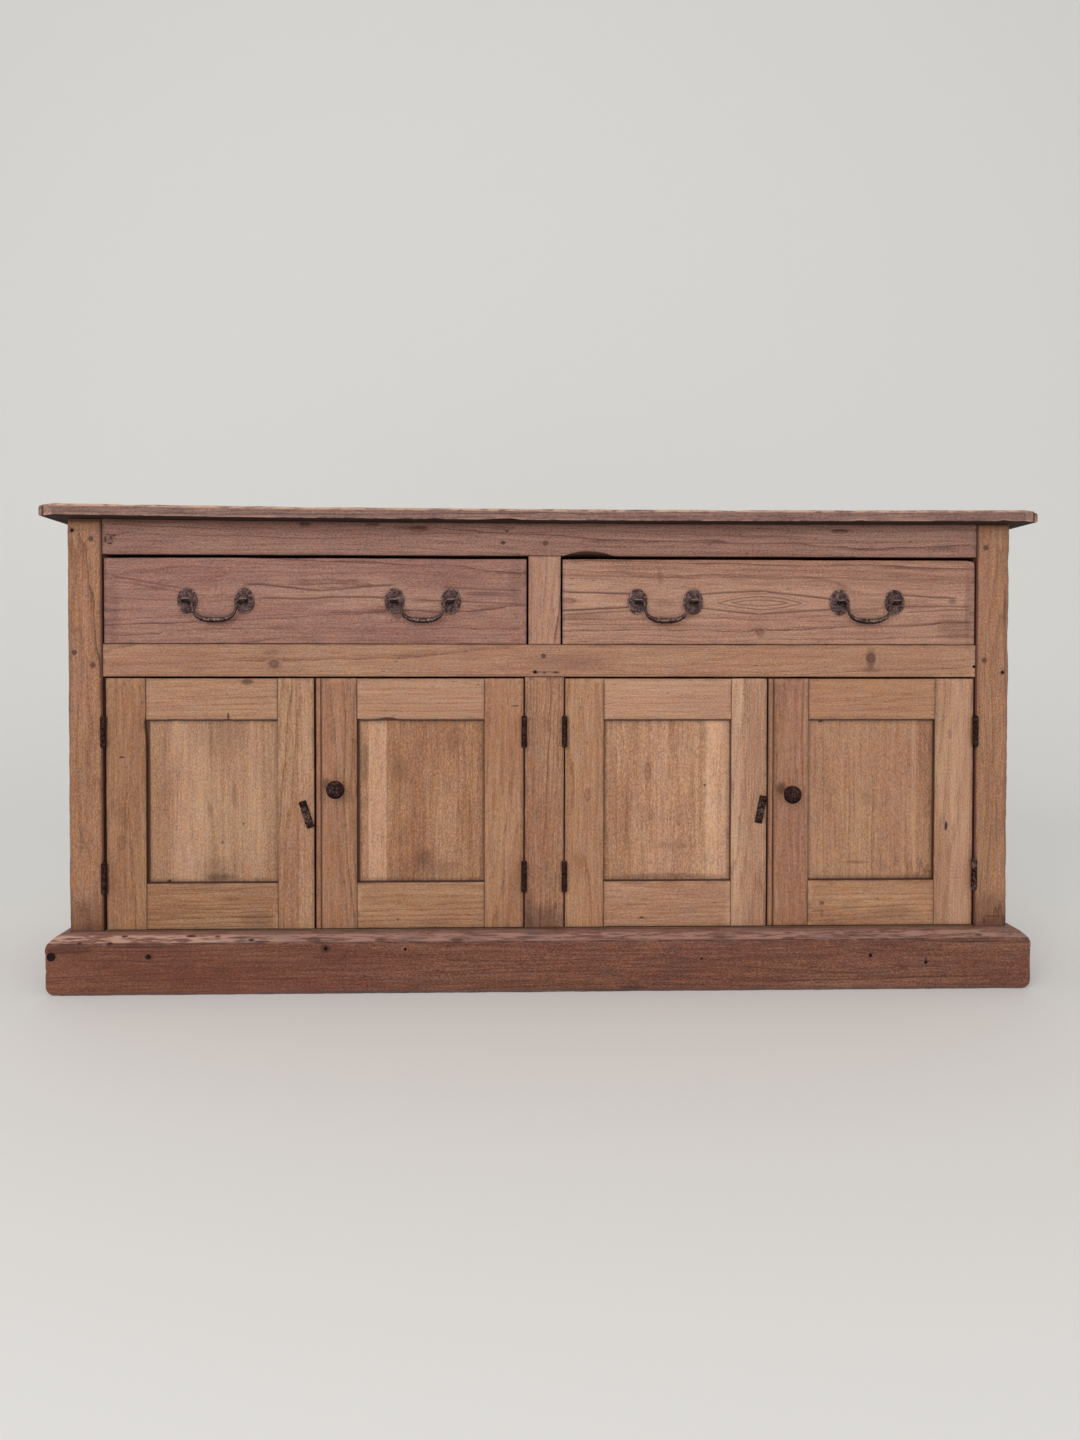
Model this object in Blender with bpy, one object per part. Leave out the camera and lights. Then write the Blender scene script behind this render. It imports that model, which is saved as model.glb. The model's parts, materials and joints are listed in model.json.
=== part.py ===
# Kitchen dresser base in old waxed pine: two drawers over four panelled doors.
# Metres, +Z up, front towards -Y, origin on the floor under the middle of the worktop.

import math

import bmesh
import bpy
from mathutils import Matrix, Vector

# Clearances and small working sizes
JOINT_GAP = 0.0003
CUT_OVERRUN = 0.002
ARRIS = 0.0012
HIDDEN_ARRIS = 0.0006
SHARP_ANGLE = math.radians(32)

# Worktop
TOP_LENGTH = 1.830
TOP_DEPTH = 0.490
TOP_THICK = 0.020
TOP_FRONT_OVERHANG = 0.043
TOP_END_OVERHANG = 0.042
TOP_CANT_LENGTH = 0.036
TOP_CANT_DEPTH = 0.022
TOP_ARRIS = 0.003
LIPPING_WIDTH = 0.009
LIPPING_LINE_WIDTH = 0.0024
LIPPING_LINE_DEPTH = 0.0016

# Face frame
FRAME_THICK = 0.034
POST_WIDTH = 0.062
TOP_RAIL_HEIGHT = 0.060
DRAWER_OPENING_HEIGHT = 0.164
MID_RAIL_HEIGHT = 0.060
DOOR_OPENING_HEIGHT = 0.4695
MUNTIN_WIDTH = 0.060
CENTRE_STILE_WIDTH = 0.073

# Worn bite in the lower edge of the top rail, over the right hand drawer
BITE_LENGTH = 0.096
BITE_DEPTH = 0.009
BITE_FROM_MUNTIN = 0.004
BITE_STEPS = 8

# Carcass behind the frame
SIDE_THICK = 0.022
HOUSING_DEPTH = 0.008
FLOOR_THICK = 0.020
SHELF_THICK = 0.018
SHELF_ABOVE_FLOOR = 0.2285
SHELF_BEHIND_DOOR = 0.0008
BACK_THICK = 0.014
BACK_BOARD_WIDTH = 0.155
BACK_VEE_WIDTH = 0.004
BACK_VEE_DEPTH = 0.003

# Plinth
PLINTH_HEIGHT = 0.1085
PLINTH_THICK = 0.031
PLINTH_CHAMFER_HEIGHT = 0.0165
PLINTH_CHAMFER_DEPTH = 0.024
PLINTH_TOP_CORNER = 0.0285
PLINTH_FOOT_CORNER = 0.018
CORNER_STEPS = 6

# Drawers
DRAWER_FRONT_THICK = 0.022
DRAWER_END_GAP = 0.003
DRAWER_TOP_GAP = 0.0060
DRAWER_FOOT_GAP = 0.0010
DRAWER_SIDE_THICK = 0.012
DRAWER_SIDE_DROP = 0.010
DRAWER_BACK_THICK = 0.011
DRAWER_BACK_DROP = 0.016
DRAWER_REAR_SPACE = 0.016
DRAWER_BOTTOM_THICK = 0.008
DRAWER_BOTTOM_RISE = 0.010
DRAWER_GROOVE_DEPTH = 0.006
DRAWER_RUN_GAP = 0.0004
RUNNER_WIDTH = 0.030
RUNNER_DEPTH = 0.020
GUIDE_RISE = 0.022

# Doors
DOOR_THICK = 0.022
DOOR_TOP_GAP = 0.003
DOOR_FOOT_GAP = 0.002
DOOR_MEETING_GAP = 0.002
LEFT_HINGE_GAP = 0.0052
RIGHT_HINGE_GAP = 0.0035
CENTRE_HINGE_GAP = 0.0019
LEFT_MEETING_SHARE = 0.499
RIGHT_MEETING_SHARE = 0.492
HINGE_STILE_WIDTH = 0.0725
MEETING_STILE_WIDTH = 0.0665
BEADED_STILE_WIDTH = 0.0765
DOOR_TOP_RAIL = 0.0765
DOOR_FOOT_RAIL = 0.0850
RAIL_TENON = 0.012
RAIL_SET_FRONT = 0.0006
RAIL_SET_BACK = 0.0004
STILE_ARRIS = 0.0009
PANEL_THICK = 0.008
PANEL_SET = 0.009
PANEL_TONGUE = 0.008
BEAD_RADIUS = 0.0055
QUIRK_WIDTH = 0.0016
BEAD_STEPS = 6

# Butt hinges
HINGE_LENGTH = 0.057
HINGE_TOP_INSET = 0.070
HINGE_FOOT_INSET = 0.0675
HINGE_LEAF_DEPTH = 0.024
HINGE_LEAF_THICK = 0.0020
HINGE_LEAF_CLEARANCE = 0.0004
HINGE_BARREL_RADIUS = 0.0052
HINGE_LINE_WIDTH = 0.0008
HINGE_LINE_DEPTH = 0.0004
HINGE_FINIAL_HEIGHT = 0.0016
HINGE_PIN_RADIUS = 0.0028
HINGE_KNUCKLES = 5
BARREL_SIDES = 12

# Bail handles
HANDLE_OUTER_INSET = 0.204
HANDLE_INNER_INSET = 0.192
HANDLE_SPACING = 0.104
PLATE_WIDTH = 0.0365
PLATE_HEIGHT = 0.0475
PLATE_THICK = 0.0026
PLATE_ARRIS = 0.0009
PLATE_SIDES = 24
LUG_RADIUS = 0.0046
LUG_LENGTH = 0.014
LUG_PROUD = 0.0115
LUG_NECK_HEIGHT = 0.0050
LUG_NECK_LENGTH = 0.010
LUG_SIDES = 12
LUG_BORE_DEPTH = 0.0095
BAIL_END_RADIUS = 0.0026
BAIL_GRIP_WIDTH = 0.0042
BAIL_GRIP_HEIGHT = 0.0046
BAIL_ARM_INSET = 0.0120
BAIL_DROP = 0.0355
BAIL_ELBOW_RADIUS = 0.0040
BAIL_ELBOW_STEPS = 3
BAIL_ARC_STEPS = 18
BAIL_SIDES = 8
BAIL_SQUARENESS_SHARE = 0.75
PIN_CLEARANCE = 0.0003

# Knobs
KNOB_RADIUS = 0.0168
KNOB_PROUD = 0.0270
KNOB_HEAD_THICK = 0.0120
KNOB_NECK_RADIUS = 0.0065
KNOB_ROSE_RADIUS = 0.0105
KNOB_ROSE_THICK = 0.0030
KNOB_SIDES = 20
KNOB_HEAD_SHARES = ((0.80, 0.14), (0.97, 0.36), (1.0, 0.54), (0.93, 0.76), (0.68, 0.92), (0.32, 1.0))
LEFT_KNOB_INSET = 0.0405
LEFT_KNOB_DROP = 0.2035
RIGHT_KNOB_INSET = 0.0410
RIGHT_KNOB_DROP = 0.2146

# Turn buttons
BUTTON_LENGTH = 0.052
BUTTON_WIDTH = 0.0135
BUTTON_THICK = 0.0050
BUTTON_STEP = 0.0016
BUTTON_MIDDLE_LENGTH = 0.030
BUTTON_ARRIS = 0.0008
LEFT_BUTTON_INSET = 0.0140
LEFT_BUTTON_DROP = 0.252
LEFT_BUTTON_LEAN = math.radians(18)
RIGHT_BUTTON_INSET = 0.0110
RIGHT_BUTTON_DROP = 0.245
RIGHT_BUTTON_LEAN = math.radians(-11)

# Heights worked out from the stack of parts
DOOR_SILL = PLINTH_HEIGHT
MID_RAIL_BOTTOM = DOOR_SILL + DOOR_OPENING_HEIGHT
DRAWER_SILL = MID_RAIL_BOTTOM + MID_RAIL_HEIGHT
TOP_RAIL_BOTTOM = DRAWER_SILL + DRAWER_OPENING_HEIGHT
TOP_UNDERSIDE = TOP_RAIL_BOTTOM + TOP_RAIL_HEIGHT

# Depths, from the front of the worktop back
TOP_FRONT = -TOP_DEPTH / 2
BACK_FACE = TOP_DEPTH / 2
FACE = TOP_FRONT + TOP_FRONT_OVERHANG
FRAME_BACK = FACE + FRAME_THICK
DOOR_BACK = FACE + DOOR_THICK
BACK_FRONT = BACK_FACE - BACK_THICK

# Widths, from the middle out
CARCASS_HALF = TOP_LENGTH / 2 - TOP_END_OVERHANG
POST_INNER = CARCASS_HALF - POST_WIDTH
SIDE_INNER = CARCASS_HALF - SIDE_THICK
MUNTIN_HALF = MUNTIN_WIDTH / 2
STILE_HALF = CENTRE_STILE_WIDTH / 2

# Finishes: colour as shares of full red, green and blue, then roughness and metallic
TOP_FINISH = ((0.53, 0.40, 0.33), 0.55, 0.0)
RAIL_FINISH = ((0.58, 0.43, 0.36), 0.52, 0.0)
POST_FINISH = ((0.63, 0.47, 0.36), 0.50, 0.0)
DRAWER_FINISH = ((0.60, 0.44, 0.37), 0.48, 0.0)
DOOR_FINISH = ((0.66, 0.50, 0.37), 0.50, 0.0)
PANEL_FINISH = ((0.68, 0.53, 0.38), 0.50, 0.0)
PLINTH_FINISH = ((0.44, 0.28, 0.22), 0.55, 0.0)
INSIDE_FINISH = ((0.62, 0.50, 0.38), 0.70, 0.0)
IRON_FINISH = ((0.22, 0.18, 0.17), 0.50, 0.85)


def clear_scene():
    for item in list(bpy.data.objects):
        bpy.data.objects.remove(item, do_unlink=True)


def linear(channel):
    return ((channel + 0.055) / 1.055) ** 2.4


def make_material(name, finish):
    colour, roughness, metallic = finish
    material = bpy.data.materials.new(name + "_finish")
    material.use_nodes = True
    shader = material.node_tree.nodes["Principled BSDF"]
    shader.inputs["Base Color"].default_value = [linear(c) for c in colour] + [1.0]
    shader.inputs["Roughness"].default_value = roughness
    shader.inputs["Metallic"].default_value = metallic
    return material


def new_object(name, bm):
    bmesh.ops.recalc_face_normals(bm, faces=bm.faces)
    mesh = bpy.data.meshes.new(name)
    bm.to_mesh(mesh)
    bm.free()
    item = bpy.data.objects.new(name, mesh)
    bpy.context.scene.collection.objects.link(item)
    return item


def make_piece(name, bm, finish, smooth=False):
    item = new_object(name, bm)
    item.data.materials.append(make_material(name, finish))
    if smooth:
        item.data.shade_smooth()
        item.data.set_sharp_from_angle(angle=SHARP_ANGLE)
    return item


def make_cutter(name, bm):
    item = new_object(name, bm)
    item.hide_render = True
    item.display_type = "WIRE"
    return item


def combine(item, other, operation):
    modifier = item.modifiers.new(other.name, "BOOLEAN")
    modifier.operation = operation
    modifier.object = other
    modifier.solver = "EXACT"


def make_axis(name, place):
    axis = bpy.data.objects.new(name, None)
    axis.empty_display_size = HINGE_LENGTH
    axis.location = place
    bpy.context.scene.collection.objects.link(axis)
    return axis


def hang_on(item, axis, place=None):
    # Moves the item's origin to the axis, or to a place of its own, and parents it
    origin = Vector(axis.location if place is None else place)
    item.data.transform(Matrix.Translation(-origin))
    item.location = origin - Vector(axis.location)
    item.parent = axis


def ease_edges(bm, width, segments=1):
    bm.normal_update()
    edges = [e for e in bm.edges if len(e.link_faces) == 2 and e.calc_face_angle() > SHARP_ANGLE]
    bmesh.ops.bevel(bm, geom=edges, offset=width, segments=segments, profile=0.5, affect="EDGES")


def box_mesh(low, high, ease=0.0, segments=1):
    bm = bmesh.new()
    bmesh.ops.create_cube(bm, size=1.0)
    size = Vector(high) - Vector(low)
    middle = (Vector(high) + Vector(low)) / 2
    bmesh.ops.scale(bm, vec=size, verts=bm.verts)
    bmesh.ops.translate(bm, vec=middle, verts=bm.verts)
    if ease > 0:
        ease_edges(bm, ease, segments)
    return bm


def prism_mesh(outline, along, low, high, ease=0.0, segments=1):
    # The outline is drawn in the plane across the axis: X Z along Y, X Y along Z, Y Z along X
    bm = bmesh.new()
    place = {
        "X": lambda a, b: (low, a, b),
        "Y": lambda a, b: (a, low, b),
        "Z": lambda a, b: (a, b, low),
    }[along]
    face = bm.faces.new([bm.verts.new(place(a, b)) for a, b in outline])
    sweep = Vector([high - low if letter == along else 0 for letter in "XYZ"])
    grown = bmesh.ops.extrude_face_region(bm, geom=[face])
    moved = [v for v in grown["geom"] if isinstance(v, bmesh.types.BMVert)]
    bmesh.ops.translate(bm, vec=sweep, verts=moved)
    bmesh.ops.recalc_face_normals(bm, faces=bm.faces)
    if ease > 0:
        ease_edges(bm, ease, segments)
    return bm


def ring_mesh(x_low, x_high, outer_low, outer_high, inner_low, inner_high):
    # A square ring round the X axis: each corner is a pair of Y and Z
    def loop(x, low, high):
        corners = ((low[0], low[1]), (high[0], low[1]), (high[0], high[1]), (low[0], high[1]))
        return [bm.verts.new((x, y, z)) for y, z in corners]

    bm = bmesh.new()
    loops = [loop(x_low, outer_low, outer_high), loop(x_high, outer_low, outer_high)]
    loops += [loop(x_high, inner_low, inner_high), loop(x_low, inner_low, inner_high)]
    for first, second in zip(loops, loops[1:] + loops[:1]):
        for i in range(len(first)):
            j = (i + 1) % len(first)
            bm.faces.new((first[i], first[j], second[j], second[i]))
    return bm


def turned_mesh(profile, sides):
    # Turns pairs of radius and height about +Z, closed at both ends
    bm = bmesh.new()
    rings = []
    for radius, height in profile:
        ring = []
        for step in range(sides):
            turn = math.tau * step / sides
            ring.append(bm.verts.new((radius * math.cos(turn), radius * math.sin(turn), height)))
        rings.append(ring)
    for first, second in zip(rings, rings[1:]):
        for i in range(sides):
            j = (i + 1) % sides
            bm.faces.new((first[i], first[j], second[j], second[i]))
    bm.faces.new(rings[0][::-1])
    bm.faces.new(rings[-1])
    return bm


def arc_points(centre_a, centre_b, radius, start, end, steps):
    points = []
    for step in range(steps + 1):
        turn = math.radians(start + (end - start) * step / steps)
        points.append((centre_a + radius * math.cos(turn), centre_b + radius * math.sin(turn)))
    return points


def mirror_points(points, side):
    return [(side * a, b) for a, b in points]


# Worktop

def make_worktop():
    end = TOP_LENGTH / 2
    outline = [
        (-end + TOP_CANT_LENGTH, TOP_FRONT),
        (end - TOP_CANT_LENGTH, TOP_FRONT),
        (end, TOP_FRONT + TOP_CANT_DEPTH),
        (end, BACK_FACE),
        (-end, BACK_FACE),
        (-end, TOP_FRONT + TOP_CANT_DEPTH),
    ]
    top_face = TOP_UNDERSIDE + TOP_THICK
    bm = prism_mesh(outline, "Z", TOP_UNDERSIDE, top_face, TOP_ARRIS, 2)
    top = make_piece("worktop", bm, TOP_FINISH)
    cant_slope = TOP_CANT_DEPTH / TOP_CANT_LENGTH
    cant_front = TOP_FRONT + TOP_CANT_DEPTH - LIPPING_WIDTH * cant_slope
    outer_low = (TOP_FRONT - CUT_OVERRUN, TOP_UNDERSIDE - CUT_OVERRUN)
    outer_high = (BACK_FACE + CUT_OVERRUN, top_face + CUT_OVERRUN)
    inner_low = (cant_front + LIPPING_LINE_DEPTH, TOP_UNDERSIDE + LIPPING_LINE_DEPTH)
    inner_high = (BACK_FACE - LIPPING_LINE_DEPTH, top_face - LIPPING_LINE_DEPTH)
    for side, label in ((-1, "left"), (1, "right")):
        line = side * (end - LIPPING_WIDTH)
        low = line - LIPPING_LINE_WIDTH / 2
        high = line + LIPPING_LINE_WIDTH / 2
        ring = ring_mesh(low, high, outer_low, outer_high, inner_low, inner_high)
        combine(top, make_cutter("cut_lipping_line_" + label, ring), "DIFFERENCE")


# Hinge places, shared by the frame, the doors and the hinges

def door_opening(pair):
    # Left and right edge of the opening that a pair of doors closes
    if pair == "left":
        return -POST_INNER, -STILE_HALF
    return STILE_HALF, POST_INNER


def meeting_line(pair):
    low, high = door_opening(pair)
    share = LEFT_MEETING_SHARE if pair == "left" else RIGHT_MEETING_SHARE
    return low + (high - low) * share


def door_layout():
    # For each door: its pair, the side its hinges are on, its hinge gap and whether it has a bead
    return {
        1: ("left", -1, LEFT_HINGE_GAP, False),
        2: ("left", 1, CENTRE_HINGE_GAP, True),
        3: ("right", -1, CENTRE_HINGE_GAP, False),
        4: ("right", 1, RIGHT_HINGE_GAP, True),
    }


def door_edges(number):
    # The hinge edge and the meeting edge of a door
    pair, side, gap, _ = door_layout()[number]
    low, high = door_opening(pair)
    hinge_edge = (low if side < 0 else high) - side * gap
    meeting_edge = meeting_line(pair) + side * DOOR_MEETING_GAP / 2
    return hinge_edge, meeting_edge


def door_heights():
    return DOOR_SILL + DOOR_FOOT_GAP, MID_RAIL_BOTTOM - DOOR_TOP_GAP


def hinge_axis(number):
    _, side, gap, _ = door_layout()[number]
    hinge_edge, _ = door_edges(number)
    reach = HINGE_BARREL_RADIUS + JOINT_GAP
    proud = math.sqrt(reach ** 2 - (gap / 2) ** 2)
    return hinge_edge + side * gap / 2, FACE - proud


def hinge_heights():
    foot, head = door_heights()
    upper = head - HINGE_TOP_INSET - HINGE_LENGTH
    lower = foot + HINGE_FOOT_INSET
    return {"upper": (upper, upper + HINGE_LENGTH), "lower": (lower, lower + HINGE_LENGTH)}


def leaf_face(number):
    # The face of the frame's leaf that looks at the door
    _, side, _, _ = door_layout()[number]
    return hinge_axis(number)[0] + side * HINGE_LEAF_CLEARANCE


def cut_hinge_gains(item, number):
    # Sinks the leaves into the frame where the gap is too narrow to hold them
    _, side, gap, _ = door_layout()[number]
    frame_face = door_edges(number)[0] + side * gap
    bed = leaf_face(number) + side * (HINGE_LEAF_THICK + JOINT_GAP)
    if side * (bed - frame_face) <= 0:
        return
    mouth = frame_face - side * CUT_OVERRUN
    for label, (low, high) in hinge_heights().items():
        corner = (min(mouth, bed), FACE - CUT_OVERRUN, low - JOINT_GAP)
        far = (max(mouth, bed), FACE + HINGE_LEAF_DEPTH + JOINT_GAP, high + JOINT_GAP)
        cutter = make_cutter("cut_gain_%s_%d" % (label, number), box_mesh(corner, far))
        combine(item, cutter, "DIFFERENCE")


# Face frame

def make_post(name, side, number):
    inner = side * POST_INNER
    outer = side * CARCASS_HALF
    low = (min(inner, outer), FACE, 0)
    high = (max(inner, outer), FRAME_BACK, TOP_UNDERSIDE - JOINT_GAP)
    post = make_piece(name, box_mesh(low, high, ARRIS, 2), POST_FINISH)
    cut_hinge_gains(post, number)


def make_top_rail():
    end = POST_INNER - JOINT_GAP
    head = TOP_UNDERSIDE - JOINT_GAP
    bite_start = MUNTIN_HALF + BITE_FROM_MUNTIN
    outline = [(end, head), (-end, head), (-end, TOP_RAIL_BOTTOM)]
    for step in range(BITE_STEPS + 1):
        share = step / BITE_STEPS
        rise = BITE_DEPTH * (1 - (2 * share - 1) ** 2)
        outline.append((bite_start + BITE_LENGTH * share, TOP_RAIL_BOTTOM + rise))
    outline.append((end, TOP_RAIL_BOTTOM))
    bm = prism_mesh(outline, "Y", FACE, FRAME_BACK, ARRIS)
    make_piece("top_rail", bm, RAIL_FINISH)


def make_mid_rail():
    end = POST_INNER - JOINT_GAP
    low = (-end, FACE, MID_RAIL_BOTTOM)
    high = (end, FRAME_BACK, DRAWER_SILL)
    make_piece("mid_rail", box_mesh(low, high, ARRIS, 2), POST_FINISH)


def make_muntin():
    low = (-MUNTIN_HALF, FACE, DRAWER_SILL + JOINT_GAP)
    high = (MUNTIN_HALF, FRAME_BACK, TOP_RAIL_BOTTOM - JOINT_GAP)
    make_piece("drawer_muntin", box_mesh(low, high, ARRIS, 2), RAIL_FINISH)


def make_centre_stile():
    low = (-STILE_HALF, FACE, DOOR_SILL + JOINT_GAP)
    high = (STILE_HALF, FRAME_BACK, MID_RAIL_BOTTOM - JOINT_GAP)
    stile = make_piece("centre_stile", box_mesh(low, high, ARRIS, 2), POST_FINISH)
    cut_hinge_gains(stile, 2)
    cut_hinge_gains(stile, 3)


# Carcass

def shelf_levels():
    foot = PLINTH_HEIGHT + SHELF_ABOVE_FLOOR
    return foot, foot + SHELF_THICK


def make_side_board(name, side):
    floor_low = PLINTH_HEIGHT - FLOOR_THICK - JOINT_GAP
    floor_high = PLINTH_HEIGHT + JOINT_GAP
    shelf_low, shelf_high = shelf_levels()
    head = TOP_UNDERSIDE - JOINT_GAP
    bed = SIDE_INNER + HOUSING_DEPTH
    outline = [(CARCASS_HALF, 0), (CARCASS_HALF, head), (SIDE_INNER, head)]
    for low, high in ((shelf_low - JOINT_GAP, shelf_high + JOINT_GAP), (floor_low, floor_high)):
        outline += [(SIDE_INNER, high), (bed, high), (bed, low), (SIDE_INNER, low)]
    outline.append((SIDE_INNER, 0))
    bm = prism_mesh(mirror_points(outline, side), "Y", FRAME_BACK + JOINT_GAP, BACK_FACE, HIDDEN_ARRIS)
    make_piece(name, bm, POST_FINISH)


def make_cupboard_floor():
    front_end = POST_INNER - JOINT_GAP
    housed_end = SIDE_INNER + HOUSING_DEPTH - JOINT_GAP
    step = FRAME_BACK + JOINT_GAP
    rear = BACK_FRONT - JOINT_GAP
    half = [(front_end, FACE), (front_end, step), (housed_end, step), (housed_end, rear)]
    outline = half + mirror_points(half, -1)[::-1]
    bm = prism_mesh(outline, "Z", PLINTH_HEIGHT - FLOOR_THICK, PLINTH_HEIGHT, HIDDEN_ARRIS)
    make_piece("cupboard_floor", bm, INSIDE_FINISH)


def make_shelf():
    front = DOOR_BACK + SHELF_BEHIND_DOOR
    notch = STILE_HALF + JOINT_GAP
    front_end = POST_INNER - JOINT_GAP
    housed_end = SIDE_INNER + HOUSING_DEPTH - JOINT_GAP
    step = FRAME_BACK + JOINT_GAP
    rear = BACK_FRONT - JOINT_GAP
    half = [(notch, step), (notch, front), (front_end, front), (front_end, step)]
    half += [(housed_end, step), (housed_end, rear)]
    outline = half + mirror_points(half, -1)[::-1]
    low, high = shelf_levels()
    make_piece("shelf", prism_mesh(outline, "Z", low, high, HIDDEN_ARRIS), INSIDE_FINISH)


def make_back_boards():
    end = SIDE_INNER - JOINT_GAP
    count = max(round(2 * end / BACK_BOARD_WIDTH), 1)
    width = 2 * end / count
    joints = [-end + width * number for number in range(1, count)]
    half_vee = BACK_VEE_WIDTH / 2
    outline = [(-end, BACK_FRONT)]
    for joint in joints:
        outline.append((joint - half_vee, BACK_FRONT))
        outline.append((joint, BACK_FRONT + BACK_VEE_DEPTH))
        outline.append((joint + half_vee, BACK_FRONT))
    outline += [(end, BACK_FRONT), (end, BACK_FACE)]
    for joint in reversed(joints):
        outline.append((joint + half_vee, BACK_FACE))
        outline.append((joint, BACK_FACE - BACK_VEE_DEPTH))
        outline.append((joint - half_vee, BACK_FACE))
    outline.append((-end, BACK_FACE))
    make_piece("back_boards", prism_mesh(outline, "Z", 0, TOP_UNDERSIDE - JOINT_GAP), INSIDE_FINISH)


# Plinth

def make_plinth_front():
    end = CARCASS_HALF + PLINTH_THICK
    head = PLINTH_HEIGHT
    top = PLINTH_TOP_CORNER
    foot = PLINTH_FOOT_CORNER
    half = arc_points(end - foot, foot, foot, -90, 0, CORNER_STEPS)
    half += arc_points(end - top, head - top, top, 0, 90, CORNER_STEPS)
    outline = half + mirror_points(half, -1)[::-1]
    front = FACE - JOINT_GAP - PLINTH_THICK
    bm = prism_mesh(outline, "Y", front, FACE - JOINT_GAP, ARRIS)
    board = make_piece("plinth_front", bm, PLINTH_FINISH)
    slope = PLINTH_CHAMFER_HEIGHT / PLINTH_CHAMFER_DEPTH
    over = CUT_OVERRUN
    wedge = [
        (front - over, head - PLINTH_CHAMFER_HEIGHT - over * slope),
        (front + PLINTH_CHAMFER_DEPTH + over, head + over * slope),
        (front - over, head + over * slope),
    ]
    cutter = prism_mesh(wedge, "X", -end - over, end + over)
    combine(board, make_cutter("cut_plinth_chamfer", cutter), "DIFFERENCE")


def make_plinth_return(name, side):
    inner = CARCASS_HALF + JOINT_GAP
    outer = CARCASS_HALF + PLINTH_THICK
    top = PLINTH_TOP_CORNER
    foot = PLINTH_FOOT_CORNER
    outline = [(inner, PLINTH_HEIGHT), (inner, 0)]
    outline += arc_points(outer - foot, foot, foot, -90, 0, CORNER_STEPS)
    outline += arc_points(outer - top, PLINTH_HEIGHT - top, top, 0, 90, CORNER_STEPS)
    bm = prism_mesh(mirror_points(outline, side), "Y", FACE, BACK_FACE, ARRIS)
    make_piece(name, bm, PLINTH_FINISH)


# Drawer runners

def make_outer_runner(name, side):
    base_low = DRAWER_SILL - RUNNER_DEPTH
    wall = SIDE_INNER - JOINT_GAP
    outline = [
        (wall, base_low),
        (wall, DRAWER_SILL + GUIDE_RISE),
        (POST_INNER, DRAWER_SILL + GUIDE_RISE),
        (POST_INNER, DRAWER_SILL),
        (POST_INNER - RUNNER_WIDTH, DRAWER_SILL),
        (POST_INNER - RUNNER_WIDTH, base_low),
    ]
    low = FRAME_BACK + JOINT_GAP
    bm = prism_mesh(mirror_points(outline, side), "Y", low, BACK_FRONT - JOINT_GAP, HIDDEN_ARRIS)
    make_piece(name, bm, INSIDE_FINISH)


def make_centre_runner():
    base_low = DRAWER_SILL - RUNNER_DEPTH
    wide = MUNTIN_HALF + RUNNER_WIDTH
    half = [
        (wide, base_low),
        (wide, DRAWER_SILL),
        (MUNTIN_HALF, DRAWER_SILL),
        (MUNTIN_HALF, DRAWER_SILL + GUIDE_RISE),
    ]
    outline = half + mirror_points(half, -1)[::-1]
    low = FRAME_BACK + JOINT_GAP
    bm = prism_mesh(outline, "Y", low, BACK_FRONT - JOINT_GAP, HIDDEN_ARRIS)
    make_piece("drawer_runner_centre", bm, INSIDE_FINISH)


# Hinges

def barrel_profile():
    # Knuckles parted by fine lines, with a small button on the pin at each end
    radius = HINGE_BARREL_RADIUS
    waist = radius - HINGE_LINE_DEPTH
    knuckle = HINGE_LENGTH / HINGE_KNUCKLES
    half_line = HINGE_LINE_WIDTH / 2
    profile = [(HINGE_PIN_RADIUS, -HINGE_FINIAL_HEIGHT), (HINGE_PIN_RADIUS, 0), (radius, 0)]
    for number in range(1, HINGE_KNUCKLES):
        line = knuckle * number
        profile += [(radius, line - half_line), (waist, line), (radius, line + half_line)]
    profile += [(radius, HINGE_LENGTH), (HINGE_PIN_RADIUS, HINGE_LENGTH)]
    profile.append((HINGE_PIN_RADIUS, HINGE_LENGTH + HINGE_FINIAL_HEIGHT))
    return profile


def make_hinge(number, label, low, high):
    _, side, _, _ = door_layout()[number]
    axis_x, axis_y = hinge_axis(number)
    bm = turned_mesh(barrel_profile(), BARREL_SIDES)
    bmesh.ops.translate(bm, vec=(axis_x, axis_y, low), verts=bm.verts)
    hinge = make_piece("hinge_%s_%d" % (label, number), bm, IRON_FINISH)
    near = leaf_face(number)
    far = near + side * HINGE_LEAF_THICK
    margin = HINGE_LINE_WIDTH
    corner = (min(near, far), axis_y, low + margin)
    opposite = (max(near, far), FACE + HINGE_LEAF_DEPTH, high - margin)
    leaf = make_cutter("leaf_%s_%d" % (label, number), box_mesh(corner, opposite))
    combine(hinge, leaf, "UNION")


def make_hinges():
    for number in door_layout():
        for label, (low, high) in hinge_heights().items():
            make_hinge(number, label, low, high)


# Doors

def bead_outline(edge, side, length):
    # Plan of a stile whose meeting edge carries a half round bead and a narrow quirk
    radius = BEAD_RADIUS
    points = [(0, DOOR_BACK)]
    points += arc_points(radius, FACE + radius, radius, 180, 360, BEAD_STEPS)
    points += [(2 * radius + QUIRK_WIDTH, FACE + radius), (2 * radius + QUIRK_WIDTH, FACE)]
    points += [(length, FACE), (length, DOOR_BACK)]
    return [(edge + side * a, b) for a, b in points]


def plain_stile(edge, inner, foot, head):
    low = (min(edge, inner), FACE, foot)
    high = (max(edge, inner), DOOR_BACK, head)
    return box_mesh(low, high, STILE_ARRIS)


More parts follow.
